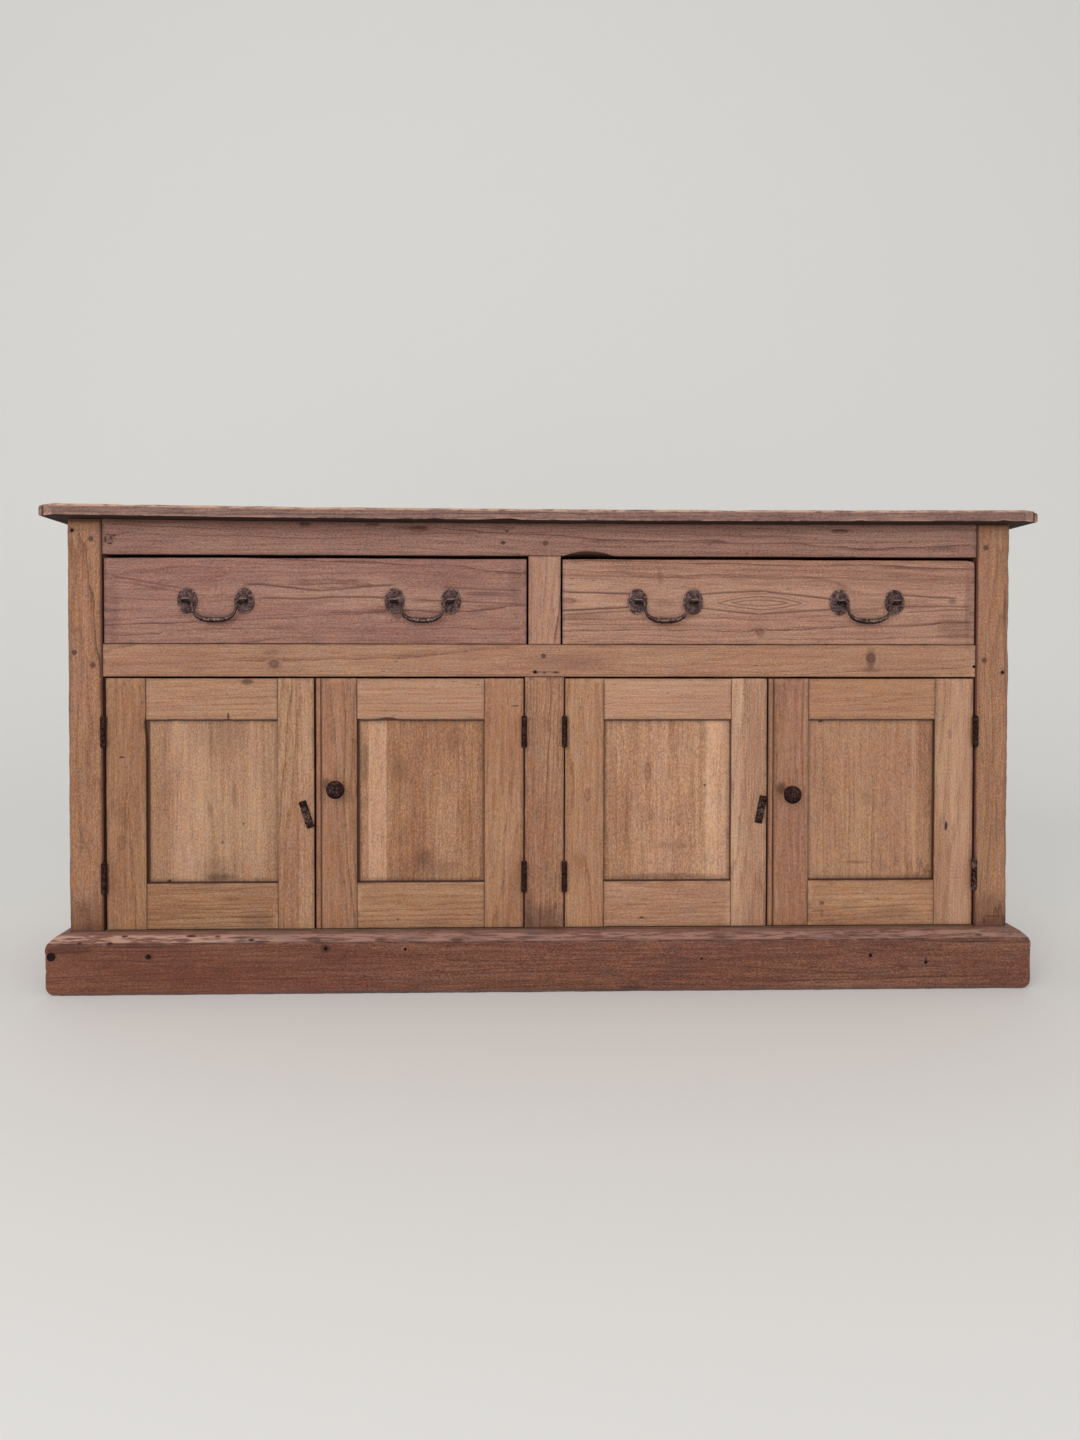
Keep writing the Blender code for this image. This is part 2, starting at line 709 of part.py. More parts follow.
def door_inside(number):
    # Opening between the stiles and rails: hinge side, meeting side, foot and head
    _, side, _, beaded = door_layout()[number]
    hinge_edge, meeting_edge = door_edges(number)
    meeting_width = BEADED_STILE_WIDTH if beaded else MEETING_STILE_WIDTH
    foot, head = door_heights()
    hinge_inner = hinge_edge - side * HINGE_STILE_WIDTH
    meeting_inner = meeting_edge + side * meeting_width
    return hinge_inner, meeting_inner, foot + DOOR_FOOT_RAIL, head - DOOR_TOP_RAIL


def make_door_frame(number, axis):
    _, side, _, beaded = door_layout()[number]
    hinge_edge, meeting_edge = door_edges(number)
    hinge_inner, meeting_inner, opening_foot, opening_head = door_inside(number)
    foot, head = door_heights()
    label = "door_%d" % number
    bm = plain_stile(hinge_edge, hinge_inner, foot, head)
    frame = make_piece(label + "_frame", bm, DOOR_FINISH)
    if beaded:
        outline = bead_outline(meeting_edge, side, BEADED_STILE_WIDTH)
        stile = prism_mesh(outline, "Z", foot, head)
    else:
        stile = plain_stile(meeting_edge, meeting_inner, foot, head)
    stile_item = make_cutter(label + "_meeting_stile", stile)
    left = min(hinge_inner, meeting_inner)
    right = max(hinge_inner, meeting_inner)
    rail_front = FACE + RAIL_SET_FRONT
    rail_back = DOOR_BACK - RAIL_SET_BACK
    rails = {
        "foot": (foot + RAIL_SET_BACK, opening_foot),
        "top": (opening_head, head - RAIL_SET_BACK),
    }
    hang_on(frame, axis)
    for name, (low, high) in rails.items():
        corner = (left - RAIL_TENON, rail_front, low)
        far = (right + RAIL_TENON, rail_back, high)
        combine(frame, make_cutter("%s_%s_rail" % (label, name), box_mesh(corner, far)), "UNION")
    combine(frame, stile_item, "UNION")
    reach = PANEL_TONGUE
    front = FACE + PANEL_SET - JOINT_GAP
    back = FACE + PANEL_SET + PANEL_THICK + JOINT_GAP
    corner = (left - reach, front, opening_foot - reach)
    far = (right + reach, back, opening_head + reach)
    combine(frame, make_cutter("cut_groove_%d" % number, box_mesh(corner, far)), "DIFFERENCE")


def make_door_panel(number, axis):
    hinge_inner, meeting_inner, opening_foot, opening_head = door_inside(number)
    reach = PANEL_TONGUE - JOINT_GAP
    front = FACE + PANEL_SET
    corner = (min(hinge_inner, meeting_inner) - reach, front, opening_foot - reach)
    far_x = max(hinge_inner, meeting_inner) + reach
    far = (far_x, front + PANEL_THICK, opening_head + reach)
    panel = make_piece("door_%d_panel" % number, box_mesh(corner, far, HIDDEN_ARRIS), PANEL_FINISH)
    hang_on(panel, axis)


# Knobs and turn buttons

def knob_profile():
    # Rose, neck and domed head; the head's points are shares of its radius and thickness
    back = KNOB_PROUD - KNOB_HEAD_THICK
    profile = [
        (KNOB_ROSE_RADIUS, 0),
        (KNOB_ROSE_RADIUS, KNOB_ROSE_THICK / 2),
        (KNOB_NECK_RADIUS, KNOB_ROSE_THICK),
        (KNOB_NECK_RADIUS, back),
    ]
    for across_share, deep_share in KNOB_HEAD_SHARES:
        profile.append((KNOB_RADIUS * across_share, back + KNOB_HEAD_THICK * deep_share))
    return profile


def make_knob(name, number, inset, drop, axis):
    _, side, _, _ = door_layout()[number]
    _, meeting_edge = door_edges(number)
    bm = turned_mesh(knob_profile(), KNOB_SIDES)
    bmesh.ops.rotate(bm, verts=bm.verts, matrix=Matrix.Rotation(math.radians(90), 3, "X"))
    place = (meeting_edge + side * inset, FACE - JOINT_GAP, door_heights()[1] - drop)
    bmesh.ops.translate(bm, vec=place, verts=bm.verts)
    hang_on(make_piece(name, bm, IRON_FINISH, smooth=True), axis, place)


def button_outline():
    # Side view along its length: a raised middle with a lower step at each end
    end = BUTTON_LENGTH / 2
    middle = BUTTON_MIDDLE_LENGTH / 2
    low = BUTTON_THICK - BUTTON_STEP
    return [
        (end, 0),
        (end, low),
        (middle, low),
        (middle, BUTTON_THICK),
        (-middle, BUTTON_THICK),
        (-middle, low),
        (-end, low),
        (-end, 0),
    ]


def make_turn_button(name, number, inset, drop, lean, axis):
    # Upright at no lean; the outline's second way is how far it stands off the door
    _, side, _, _ = door_layout()[number]
    _, meeting_edge = door_edges(number)
    outline = [(-proud, along) for along, proud in button_outline()]
    bm = prism_mesh(outline, "X", -BUTTON_WIDTH / 2, BUTTON_WIDTH / 2, BUTTON_ARRIS)
    bmesh.ops.rotate(bm, verts=bm.verts, matrix=Matrix.Rotation(-lean, 3, "Y"))
    place = (meeting_edge + side * inset, FACE - JOINT_GAP, door_heights()[1] - drop)
    bmesh.ops.translate(bm, vec=place, verts=bm.verts)
    hang_on(make_piece(name, bm, IRON_FINISH), axis, place)


def make_doors():
    axes = {}
    for number in door_layout():
        axis_x, axis_y = hinge_axis(number)
        axis = make_axis("door_%d_axis" % number, (axis_x, axis_y, door_heights()[0]))
        make_door_frame(number, axis)
        make_door_panel(number, axis)
        axes[number] = axis
    make_knob("knob_left", 2, LEFT_KNOB_INSET, LEFT_KNOB_DROP, axes[2])
    make_knob("knob_right", 4, RIGHT_KNOB_INSET, RIGHT_KNOB_DROP, axes[4])
    make_turn_button(
        "turn_button_left", 1, LEFT_BUTTON_INSET, LEFT_BUTTON_DROP, LEFT_BUTTON_LEAN, axes[1]
    )
    make_turn_button(
        "turn_button_right", 3, RIGHT_BUTTON_INSET, RIGHT_BUTTON_DROP, RIGHT_BUTTON_LEAN, axes[3]
    )


# Drawers

def drawer_span(side):
    low = MUNTIN_HALF + DRAWER_END_GAP
    high = POST_INNER - DRAWER_END_GAP
    return (low, high) if side > 0 else (-high, -low)


def drawer_heights():
    return DRAWER_SILL + DRAWER_FOOT_GAP, TOP_RAIL_BOTTOM - DRAWER_TOP_GAP


def box_heights():
    # Foot and head of a drawer's sides
    return DRAWER_SILL + DRAWER_RUN_GAP, drawer_heights()[1] - DRAWER_SIDE_DROP


def bottom_heights():
    foot = box_heights()[0] + DRAWER_BOTTOM_RISE
    return foot, foot + DRAWER_BOTTOM_THICK


def drawer_rear():
    return BACK_FRONT - DRAWER_REAR_SPACE


def make_drawer_front(label, left, right, axis):
    foot, head = drawer_heights()
    box_back = FACE + DRAWER_FRONT_THICK
    bm = box_mesh((left, FACE, foot), (right, box_back, head), ARRIS, 2)
    front = make_piece(label + "_front", bm, DRAWER_FINISH)
    hang_on(front, axis)
    bottom_low, bottom_high = bottom_heights()
    inner = DRAWER_SIDE_THICK - DRAWER_GROOVE_DEPTH
    corner = (left + inner, box_back - DRAWER_GROOVE_DEPTH, bottom_low - JOINT_GAP)
    far = (right - inner, box_back + CUT_OVERRUN, bottom_high + JOINT_GAP)
    combine(front, make_cutter("cut_%s_groove" % label, box_mesh(corner, far)), "DIFFERENCE")


def make_drawer_side(name, outer, inward, axis):
    foot, head = box_heights()
    bottom_low, bottom_high = bottom_heights()
    inner = outer + inward * DRAWER_SIDE_THICK
    bed = inner - inward * DRAWER_GROOVE_DEPTH
    outline = [
        (outer, foot),
        (outer, head),
        (inner, head),
        (inner, bottom_high + JOINT_GAP),
        (bed, bottom_high + JOINT_GAP),
        (bed, bottom_low - JOINT_GAP),
        (inner, bottom_low - JOINT_GAP),
        (inner, foot),
    ]
    low = FACE + DRAWER_FRONT_THICK + JOINT_GAP
    bm = prism_mesh(outline, "Y", low, drawer_rear(), HIDDEN_ARRIS)
    hang_on(make_piece(name, bm, INSIDE_FINISH), axis)


def make_drawer_back(label, left, right, axis):
    inset = DRAWER_SIDE_THICK + JOINT_GAP
    foot = bottom_heights()[1] + JOINT_GAP
    head = drawer_heights()[1] - DRAWER_BACK_DROP
    low = (left + inset, drawer_rear() - DRAWER_BACK_THICK, foot)
    high = (right - inset, drawer_rear(), head)
    hang_on(make_piece(label + "_back", box_mesh(low, high, HIDDEN_ARRIS), INSIDE_FINISH), axis)


def make_drawer_bottom(label, left, right, axis):
    inset = DRAWER_SIDE_THICK - DRAWER_GROOVE_DEPTH + JOINT_GAP
    foot, head = bottom_heights()
    front = FACE + DRAWER_FRONT_THICK - DRAWER_GROOVE_DEPTH + JOINT_GAP
    low = (left + inset, front, foot)
    high = (right - inset, drawer_rear(), head)
    hang_on(make_piece(label + "_bottom", box_mesh(low, high), INSIDE_FINISH), axis)


def make_drawers():
    for side, label in ((-1, "drawer_left"), (1, "drawer_right")):
        left, right = drawer_span(side)
        foot, head = drawer_heights()
        axis = make_axis(label + "_slide", ((left + right) / 2, FACE, (foot + head) / 2))
        make_drawer_front(label, left, right, axis)
        make_drawer_side(label + "_side_left", left, 1, axis)
        make_drawer_side(label + "_side_right", right, -1, axis)
        make_drawer_back(label, left, right, axis)
        make_drawer_bottom(label, left, right, axis)
        handles = {"outer": HANDLE_OUTER_INSET, "inner": HANDLE_INNER_INSET}
        for place, inset in handles.items():
            outer_end = left if side < 0 else right
            inner_end = right if side < 0 else left
            end = outer_end if place == "outer" else inner_end
            inward = 1 if end == left else -1
            middle = end + inward * inset
            make_handle("%s_%s" % (label, place), middle, (foot + head) / 2, axis)


# Bail handles

def pivot_depth():
    return FACE - JOINT_GAP - LUG_PROUD


def make_handle_plate(name, middle, height, inward, axis):
    outline = []
    for step in range(PLATE_SIDES):
        turn = math.tau * step / PLATE_SIDES
        across = PLATE_WIDTH / 2 * math.cos(turn)
        outline.append((middle + across, height + PLATE_HEIGHT / 2 * math.sin(turn)))
    rear = FACE - JOINT_GAP
    bm = prism_mesh(outline, "Y", rear - PLATE_THICK, rear, PLATE_ARRIS)
    plate = make_piece(name, bm, IRON_FINISH)
    hang_on(plate, axis)
    neck_low = (middle - LUG_NECK_LENGTH / 2, pivot_depth(), height - LUG_NECK_HEIGHT / 2)
    neck_high = (middle + LUG_NECK_LENGTH / 2, rear - PLATE_THICK / 2, height + LUG_NECK_HEIGHT / 2)
    combine(plate, make_cutter(name + "_neck", box_mesh(neck_low, neck_high)), "UNION")
    half = LUG_LENGTH / 2
    lug = turned_mesh([(LUG_RADIUS, -half), (LUG_RADIUS, half)], LUG_SIDES)
    mouth = inward * (half + CUT_OVERRUN)
    blind = inward * (half - LUG_BORE_DEPTH)
    radius = BAIL_END_RADIUS + PIN_CLEARANCE
    bore = turned_mesh([(radius, min(mouth, blind)), (radius, max(mouth, blind))], LUG_SIDES)
    for part, label, operation in ((lug, "_lug", "UNION"), (bore, "_bore", "DIFFERENCE")):
        bmesh.ops.rotate(part, verts=part.verts, matrix=Matrix.Rotation(math.radians(90), 3, "Y"))
        bmesh.ops.translate(part, vec=(middle, pivot_depth(), height), verts=part.verts)
        combine(plate, make_cutter(name + label, part), operation)


def bail_path():
    # Centre line in X and Z about the middle of the pivots, with the share of grip at each point
    half_span = HANDLE_SPACING / 2
    arm = half_span - BAIL_ARM_INSET
    lug_mouth = half_span - LUG_LENGTH / 2
    tip = lug_mouth + LUG_BORE_DEPTH - PIN_CLEARANCE
    elbow = BAIL_ELBOW_RADIUS
    side = [(tip, 0, 0.0), (arm + elbow, 0, 0.0)]
    for step in range(1, BAIL_ELBOW_STEPS + 1):
        turn = math.radians(90) * step / BAIL_ELBOW_STEPS
        side.append((arm + elbow - elbow * math.sin(turn), -elbow + elbow * math.cos(turn), 0.0))
    drop = BAIL_DROP - elbow
    arc = []
    for step in range(1, BAIL_ARC_STEPS):
        turn = math.pi * step / BAIL_ARC_STEPS
        across = math.copysign(abs(math.cos(turn)) ** BAIL_SQUARENESS_SHARE, math.cos(turn))
        down = math.sin(turn) ** BAIL_SQUARENESS_SHARE
        grip = math.sin(turn) ** 2
        arc.append((arm * across, -elbow - drop * down, grip))
    other = [(-x, z, grip) for x, z, grip in reversed(side)]
    return side + arc + other


def make_bail(name, middle, height, parent):
    path = bail_path()
    bm = bmesh.new()
    rings = []
    for index, (x, z, grip) in enumerate(path):
        before = path[max(index - 1, 0)]
        after = path[min(index + 1, len(path) - 1)]
        run = Vector((after[0] - before[0], 0, after[1] - before[1])).normalized()
        across = Vector((run.z, 0, -run.x))
        outward = Vector((0, 1, 0))
        wide = BAIL_END_RADIUS + (BAIL_GRIP_WIDTH - BAIL_END_RADIUS) * grip
        tall = BAIL_END_RADIUS + (BAIL_GRIP_HEIGHT - BAIL_END_RADIUS) * grip
        ring = []
        for step in range(BAIL_SIDES):
            turn = math.tau * step / BAIL_SIDES
            offset = across * tall * math.cos(turn) + outward * wide * math.sin(turn)
            ring.append(bm.verts.new(Vector((x, 0, z)) + offset))
        rings.append(ring)
    for first, second in zip(rings, rings[1:]):
        for i in range(BAIL_SIDES):
            j = (i + 1) % BAIL_SIDES
            bm.faces.new((first[i], first[j], second[j], second[i]))
    bm.faces.new(rings[0][::-1])
    bm.faces.new(rings[-1])
    place = (middle, pivot_depth(), height)
    bmesh.ops.translate(bm, vec=place, verts=bm.verts)
    hang_on(make_piece(name, bm, IRON_FINISH, smooth=True), parent, place)


def make_handle(label, middle, height, axis):
    half = HANDLE_SPACING / 2
    make_handle_plate(label + "_plate_left", middle - half, height, 1, axis)
    make_handle_plate(label + "_plate_right", middle + half, height, -1, axis)
    make_bail(label + "_bail", middle, height, axis)


def build_dresser():
    clear_scene()
    make_worktop()
    make_post("front_post_left", -1, 1)
    make_post("front_post_right", 1, 4)
    make_top_rail()
    make_mid_rail()
    make_muntin()
    make_centre_stile()
    make_side_board("side_board_left", -1)
    make_side_board("side_board_right", 1)
    make_cupboard_floor()
    make_shelf()
    make_back_boards()
    make_plinth_front()
    make_plinth_return("plinth_left", -1)
    make_plinth_return("plinth_right", 1)
    make_outer_runner("drawer_runner_left", -1)
    make_outer_runner("drawer_runner_right", 1)
    make_centre_runner()
    make_hinges()
    make_doors()
    make_drawers()


build_dresser()
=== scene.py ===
import json
import math

import bmesh
import bpy
import numpy as np
from mathutils import Matrix, Vector


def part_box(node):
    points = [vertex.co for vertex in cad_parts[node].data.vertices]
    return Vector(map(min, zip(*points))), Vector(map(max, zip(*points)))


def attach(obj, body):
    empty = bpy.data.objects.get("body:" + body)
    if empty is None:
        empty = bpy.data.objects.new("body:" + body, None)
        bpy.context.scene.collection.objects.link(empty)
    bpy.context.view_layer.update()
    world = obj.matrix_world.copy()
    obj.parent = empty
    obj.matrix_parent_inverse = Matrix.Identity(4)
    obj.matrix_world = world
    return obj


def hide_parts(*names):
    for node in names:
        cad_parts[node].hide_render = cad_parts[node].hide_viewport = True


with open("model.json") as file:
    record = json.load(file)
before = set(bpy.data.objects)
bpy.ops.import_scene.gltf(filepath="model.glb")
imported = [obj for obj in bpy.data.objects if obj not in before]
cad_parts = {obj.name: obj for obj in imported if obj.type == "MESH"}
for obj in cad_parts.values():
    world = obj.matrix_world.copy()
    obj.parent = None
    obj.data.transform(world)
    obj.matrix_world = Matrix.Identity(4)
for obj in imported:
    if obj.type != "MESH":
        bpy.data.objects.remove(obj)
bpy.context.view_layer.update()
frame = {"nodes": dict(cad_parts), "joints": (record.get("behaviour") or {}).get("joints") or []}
nodes = frame["nodes"]
boxOf = {name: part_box(name) for name in nodes}
jointOf = {joint["name"]: joint for joint in frame["joints"]}
print("frame loaded:", len(nodes), "nodes")

faceDepth = boxOf["mid_rail"][0].y      # the plane of the face frame, doors and drawer fronts
doorNumbers = (1, 2, 3, 4)


# Shader maths

class Wire:  # an output socket; sums written with it add Math nodes
    def __init__(self, finish, socket):
        self.finish = finish
        self.socket = socket

    def maths(self, operation, *others):
        sockets = dict(enumerate((self,) + others))
        return self.finish.add("ShaderNodeMath", {"operation": operation}, sockets)

    def __add__(self, other):
        return self.maths("ADD", other)

    def __sub__(self, other):
        return self.maths("SUBTRACT", other)

    def __rsub__(self, other):
        return self.finish.add("ShaderNodeMath", {"operation": "SUBTRACT"}, {0: other, 1: self})

    def __mul__(self, other):
        return self.maths("MULTIPLY", other)

    def __truediv__(self, other):
        return self.maths("DIVIDE", other)

    def __pow__(self, other):
        return self.maths("POWER", other)

    __radd__ = __add__
    __rmul__ = __mul__


class Finish:  # one material and its shader
    def __init__(self, name):
        self.material = bpy.data.materials.new(name)
        self.material.use_nodes = True
        self.tree = self.material.node_tree
        self.shader = self.tree.nodes["Principled BSDF"]

    def add(self, kind, settings, sockets, out=0):
        return Wire(self, addNode(self.tree, kind, settings, sockets).outputs[out])

    def set(self, **values):
        for key, value in values.items():
            join(self.tree, value, self.shader.inputs[key.replace("_", " ")])

    def blend(self, share, first, second, kind="MIX"):
        settings = {"data_type": "RGBA", "blend_type": kind}
        return self.add("ShaderNodeMix", settings, {0: share, 6: first, 7: second}, 2)

    def spread(self, value, low, high, toLow=0.0, toHigh=1.0):  # smooth step from low to high
        sockets = {0: value, 1: low, 2: high, 3: toLow, 4: toHigh}
        return self.add("ShaderNodeMapRange", {"interpolation_type": "SMOOTHSTEP"}, sockets)

    def noise(self, place, scale, detail=2.0, rough=0.5):
        stretched = self.add("ShaderNodeVectorMath", {"operation": "MULTIPLY"}, {0: place, 1: scale})
        sockets = {"Vector": stretched, "Scale": 1.0, "Detail": detail, "Roughness": rough}
        return self.add("ShaderNodeTexNoise", {"noise_dimensions": "3D"}, sockets)

    def place(self, order):  # the piece's own coordinates, whole and then one by one in this order
        where = self.add("ShaderNodeTexCoord", {}, {}, 3)
        indices = ["xyz".index(axis) for axis in order]
        return [where] + [self.add("ShaderNodeSeparateXYZ", {}, {0: where}, index) for index in indices]

    def carried(self, name):  # a number that the mesh holds for each of its points
        return self.add("ShaderNodeAttribute", {"attribute_name": name}, {}, 2)


def join(tree, value, socket):
    if isinstance(value, Wire):
        value = value.socket
    if isinstance(value, bpy.types.NodeSocket):
        tree.links.new(value, socket)
    else:
        socket.default_value = value


def addNode(tree, kind, settings, sockets):
    node = tree.nodes.new(kind)
    for key, value in settings.items():
        if key == "stops":
            fillRamp(node.color_ramp, value)
        else:
            setattr(node, key, value)
    for key, value in sockets.items():
        join(tree, value, node.inputs[key])
    return node


def fillRamp(ramp, stops):
    while len(ramp.elements) < len(stops):
        ramp.elements.new(0.5)
    for element, (place, colour) in zip(ramp.elements, stops):
        element.position = place
        element.color = colour


def paint(red, green, blue):  # a colour as a picture shows it, in whole numbers, made linear
    def linear(value):
        share = value / 255
        return share / 12.92 if share <= 0.04045 else ((share + 0.055) / 1.055) ** 2.4

    return (linear(red), linear(green), linear(blue), 1.0)


def shade(colour, factor):  # the same colour darker or paler
    return paint(*[min(value * factor, 255) for value in colour])


# Old waxed pine. A board's face runs along its grain and across it, and depth goes into it

pine = {
    "axes": "xzy",              # along, across, into the board
    "dark": (139, 98, 76),
    "middle": (161, 121, 96),
    "light": (184, 145, 118),
    "richness": 1.07,
    "ringWidth": 0.0048,
    "pithDepth": 0.12,          # how far behind the face the tree's middle lies
    "pithAcross": 0.09,         # and how far across from the board's middle
    "slope": 0.0,               # how the middle drifts across, along the board
    "lean": 0.02,               # and how it drifts in depth
    "wobble": 1.0,
    "rings": 0.72,              # strength of the late wood lines
    "fibre": 0.62,
    "streak": 0.46,
    "grit": 0.85,
    "mottle": 0.26,
    "bands": 0.40,
    "specks": 0.6,
    "figures": (),              # along, across, reach along, reach across, rings, darkness
    "eyes": (),                 # along, across, reach along, reach across, rings, darkness
    "lines": (),                # from along and across, to along and across, sway, width, darkness
    "strips": (),               # low and high across, lift, blur
    "stains": (),               # stains, and a few painted shadows: along, across, reach along, reach across, strength
    "grime": (0.35, 0.35, 0.4, 0.4),   # dirt and painted shade at the start, the finish, the low side and the high side
    "grimeWidth": 0.007,
    "grimeDepth": 1.0,          # how far into the board the dirt and painted shade reach
    "joint": (0.0020, 0.0020, 0.0016, 0.0016),   # width of the dark line right at each joint
    "sides": 0.0,               # painted shade on the edges that run back from the face
    "under": 0.0,               # painted shade on what faces down
    "rub": 0.25,                # how pale the arris is: worn wood with a painted highlight
    # the colour of stains, dirt and painted shade
    "dirt": (68, 38, 32),
    "soot": (50, 28, 24),       # the colour of that painted shade
    "rough": 0.56,
    "seed": 1.0,
}
lateWood = ((0.0, 0.22), (0.07, 0.0), (0.56, 0.05), (0.80, 0.45), (0.93, 1.0), (1.0, 0.3))


def inMetres(*spots, lengths=4):
    # marks are listed in millimetres: the first numbers of each are lengths
    return tuple(tuple(value / 1000 for value in spot[:lengths]) + spot[lengths:] for spot in spots)


def bellAt(along, across, spot):
    # 1 at a spot, falling away round it
    stepAlong = (along - spot[0]) / spot[2]
    stepAcross = (across - spot[1]) / spot[3]
    return (stepAlong * stepAlong + stepAcross * stepAcross).maths("MULTIPLY", -1.0).maths("EXPONENT")


def eyeAt(finish, along, across, sway, spot):
    # nested lenses, where the saw ran along a growth ring
    stepAlong = (along - spot[0]) / spot[2]
    stepAcross = ((across - spot[1]) / spot[3] + (sway - 0.5) * 0.5).maths("ABSOLUTE")
    far = stepAlong * stepAlong + stepAcross
    ring = (far * spot[4]).maths("FRACT")
    line = finish.spread(ring, 0.40, 0.90) * finish.spread(ring, 1.0, 0.94)
    return line * finish.spread(far, 1.02, 0.80) * spot[5]


def lineAt(finish, along, across, sway, spot):
    # one bold grain line, sharp on its lower side and fading on its upper one
    share = (along - spot[0]) / (spot[2] - spot[0])
    off = across - (share * (spot[3] - spot[1]) + (sway - 0.5) * spot[4] + spot[1])
    body = finish.spread(off, -0.4 * spot[5], 0.0) * finish.spread(off, spot[5], 0.0)
    return body * finish.spread(share, 0.0, 0.12) * finish.spread(share, 1.0, 0.88) * spot[6]


def darkest(parts):
    most = None
    for part in parts:
        most = part if most is None else most.maths("MAXIMUM", part)
    return most


def makePine(name, low, high, **changes):
    spec = dict(pine, **changes)
    finish = Finish(name)
    add, spread = finish.add, finish.spread
    order = ["xyz".index(letter) for letter in spec["axes"]]
    along, across, deep = finish.place(spec["axes"])[1:]
    start, foot = low[order[0]], low[order[1]]
    stop, head = high[order[0]], high[order[1]]
    front = low[order[2]]
    laid = add("ShaderNodeCombineXYZ", {}, {0: along, 1: across, 2: deep})
    shift = (spec["seed"] * 1.71, spec["seed"] * 0.83, spec["seed"] * 2.39)
    place = add("ShaderNodeVectorMath", {"operation": "ADD"}, {0: laid, 1: shift})
    drift = finish.noise(place, (2.6, 17.0, 17.0), 1.0)
    sway = finish.noise(place, (9.0, 11.0, 11.0), 1.0)
    shiver = finish.noise(place, (14.0, 120.0, 120.0), 2.0)
    cloud = finish.noise(place, (4.0, 13.0, 13.0), 2.0)
    mottle = finish.noise(place, (30.0, 70.0, 70.0), 3.0, 0.62)
    streak = finish.noise(place, (5.0, 150.0, 150.0), 2.0, 0.6)
    fibre = finish.noise(place, (20.0, 420.0, 420.0), 2.0, 0.6)
    grit = finish.noise(place, (250.0, 430.0, 430.0), 1.0, 0.6)

    # growth rings
    run = along - (start + stop) / 2
    offAcross = across - run * spec["slope"] - ((foot + head) / 2 + spec["pithAcross"])
    offDeep = deep - run * spec["lean"] - (front + spec["pithDepth"])
    radius = (offAcross * offAcross + offDeep * offDeep) ** 0.5
    rings = radius / spec["ringWidth"] + (drift - 0.5) * (3.6 * spec["wobble"]) + (shiver - 0.5) * 0.9
    cores, rims = [], []
    for spot in spec["figures"]:
        bell = bellAt(along, across, spot)
        rings = rings + bell * spot[4]
        if spot[5] > 0:
            ragged = bell + (mottle - 0.5) * 0.75 + (grit - 0.5) * 0.60
            core = spread(ragged, 0.28, 0.66)
            cores.append(core * spot[5])
            rims.append(core * spread(ragged, 0.80, 0.50) * spot[5])
    stops = [(share, (grey, grey, grey, 1.0)) for share, grey in lateWood]
    late = add("ShaderNodeValToRGB", {"stops": stops}, {0: rings.maths("FRACT")})
    each = add("ShaderNodeTexWhiteNoise", {"noise_dimensions": "1D"}, {"W": rings.maths("FLOOR")})
    bold = each * 0.45 + 0.12 + (each ** 7) * 1.1     # a few rings stand out
    late = late * bold * spread(cloud, 0.36, 0.60, 0.35, 1.15)

    # fibre, streaks, mottling and broad bands
    tone = 0.5 + (0.09 - late) * spec["rings"]
    layers = {"fibre": fibre, "streak": streak, "grit": grit, "mottle": mottle, "bands": cloud}
    for key, layer in layers.items():
        tone = tone + (layer - 0.5) * spec[key]
    for stripLow, stripHigh, lift, blur in spec["strips"]:
        edge = across + (streak - 0.5) * 0.003 + (mottle - 0.5) * blur
        rise = spread(edge, stripLow - blur, stripLow + blur)
        fall = spread(edge, stripHigh - blur, stripHigh + blur)
        tone = tone + (rise - fall) * lift
    stops = [(0.0, shade(spec["dark"], 0.80)), (0.2, paint(*spec["dark"])), (0.5, paint(*spec["middle"])),
             (0.8, paint(*spec["light"])), (1.0, shade(spec["light"], 1.10))]
    colour = add("ShaderNodeValToRGB", {"stops": stops}, {0: tone})
    hue = (cloud - 0.5) * 0.018 + (drift - 0.5) * 0.010 + 0.5
    richness = (mottle - 0.5) * 0.4 + spec["richness"]
    colour = add("ShaderNodeHueSaturation", {},
                 {"Hue": hue, "Saturation": richness, "Value": 1.015, "Color": colour})

    # bold lines and eyes, then short dark specks, more of them in some places than in others
    drawn = [lineAt(finish, along, across, sway, spot) for spot in spec["lines"]]
    drawn += [eyeAt(finish, along, across, sway, spot) for spot in spec["eyes"]]
    if drawn:
        colour = finish.blend(darkest(drawn) * ((streak - 0.5) * 0.9 + 0.95), colour, paint(84, 49, 41))
    pores = finish.noise(place, (85.0, 420.0, 420.0), 1.0, 0.4)
    specks = spread(pores + (cloud - 0.5) * 0.12, 0.71, 0.79) * spec["specks"]
    colour = finish.blend(specks, colour, paint(80, 49, 39))
    if cores:
        colour = finish.blend(darkest(cores) * 0.55, colour, paint(112, 62, 48))
        colour = finish.blend(darkest(rims) * 0.80, colour, paint(66, 34, 30))
    # stains, and a few painted shadows, in the colour of dirt and shade
    for spot in spec["stains"]:
        blot = spread(bellAt(along, across, spot) + (mottle - 0.5) * 0.9, 0.25, 0.9) * spot[4]
        colour = finish.blend(blot, colour, paint(*spec["dirt"]))
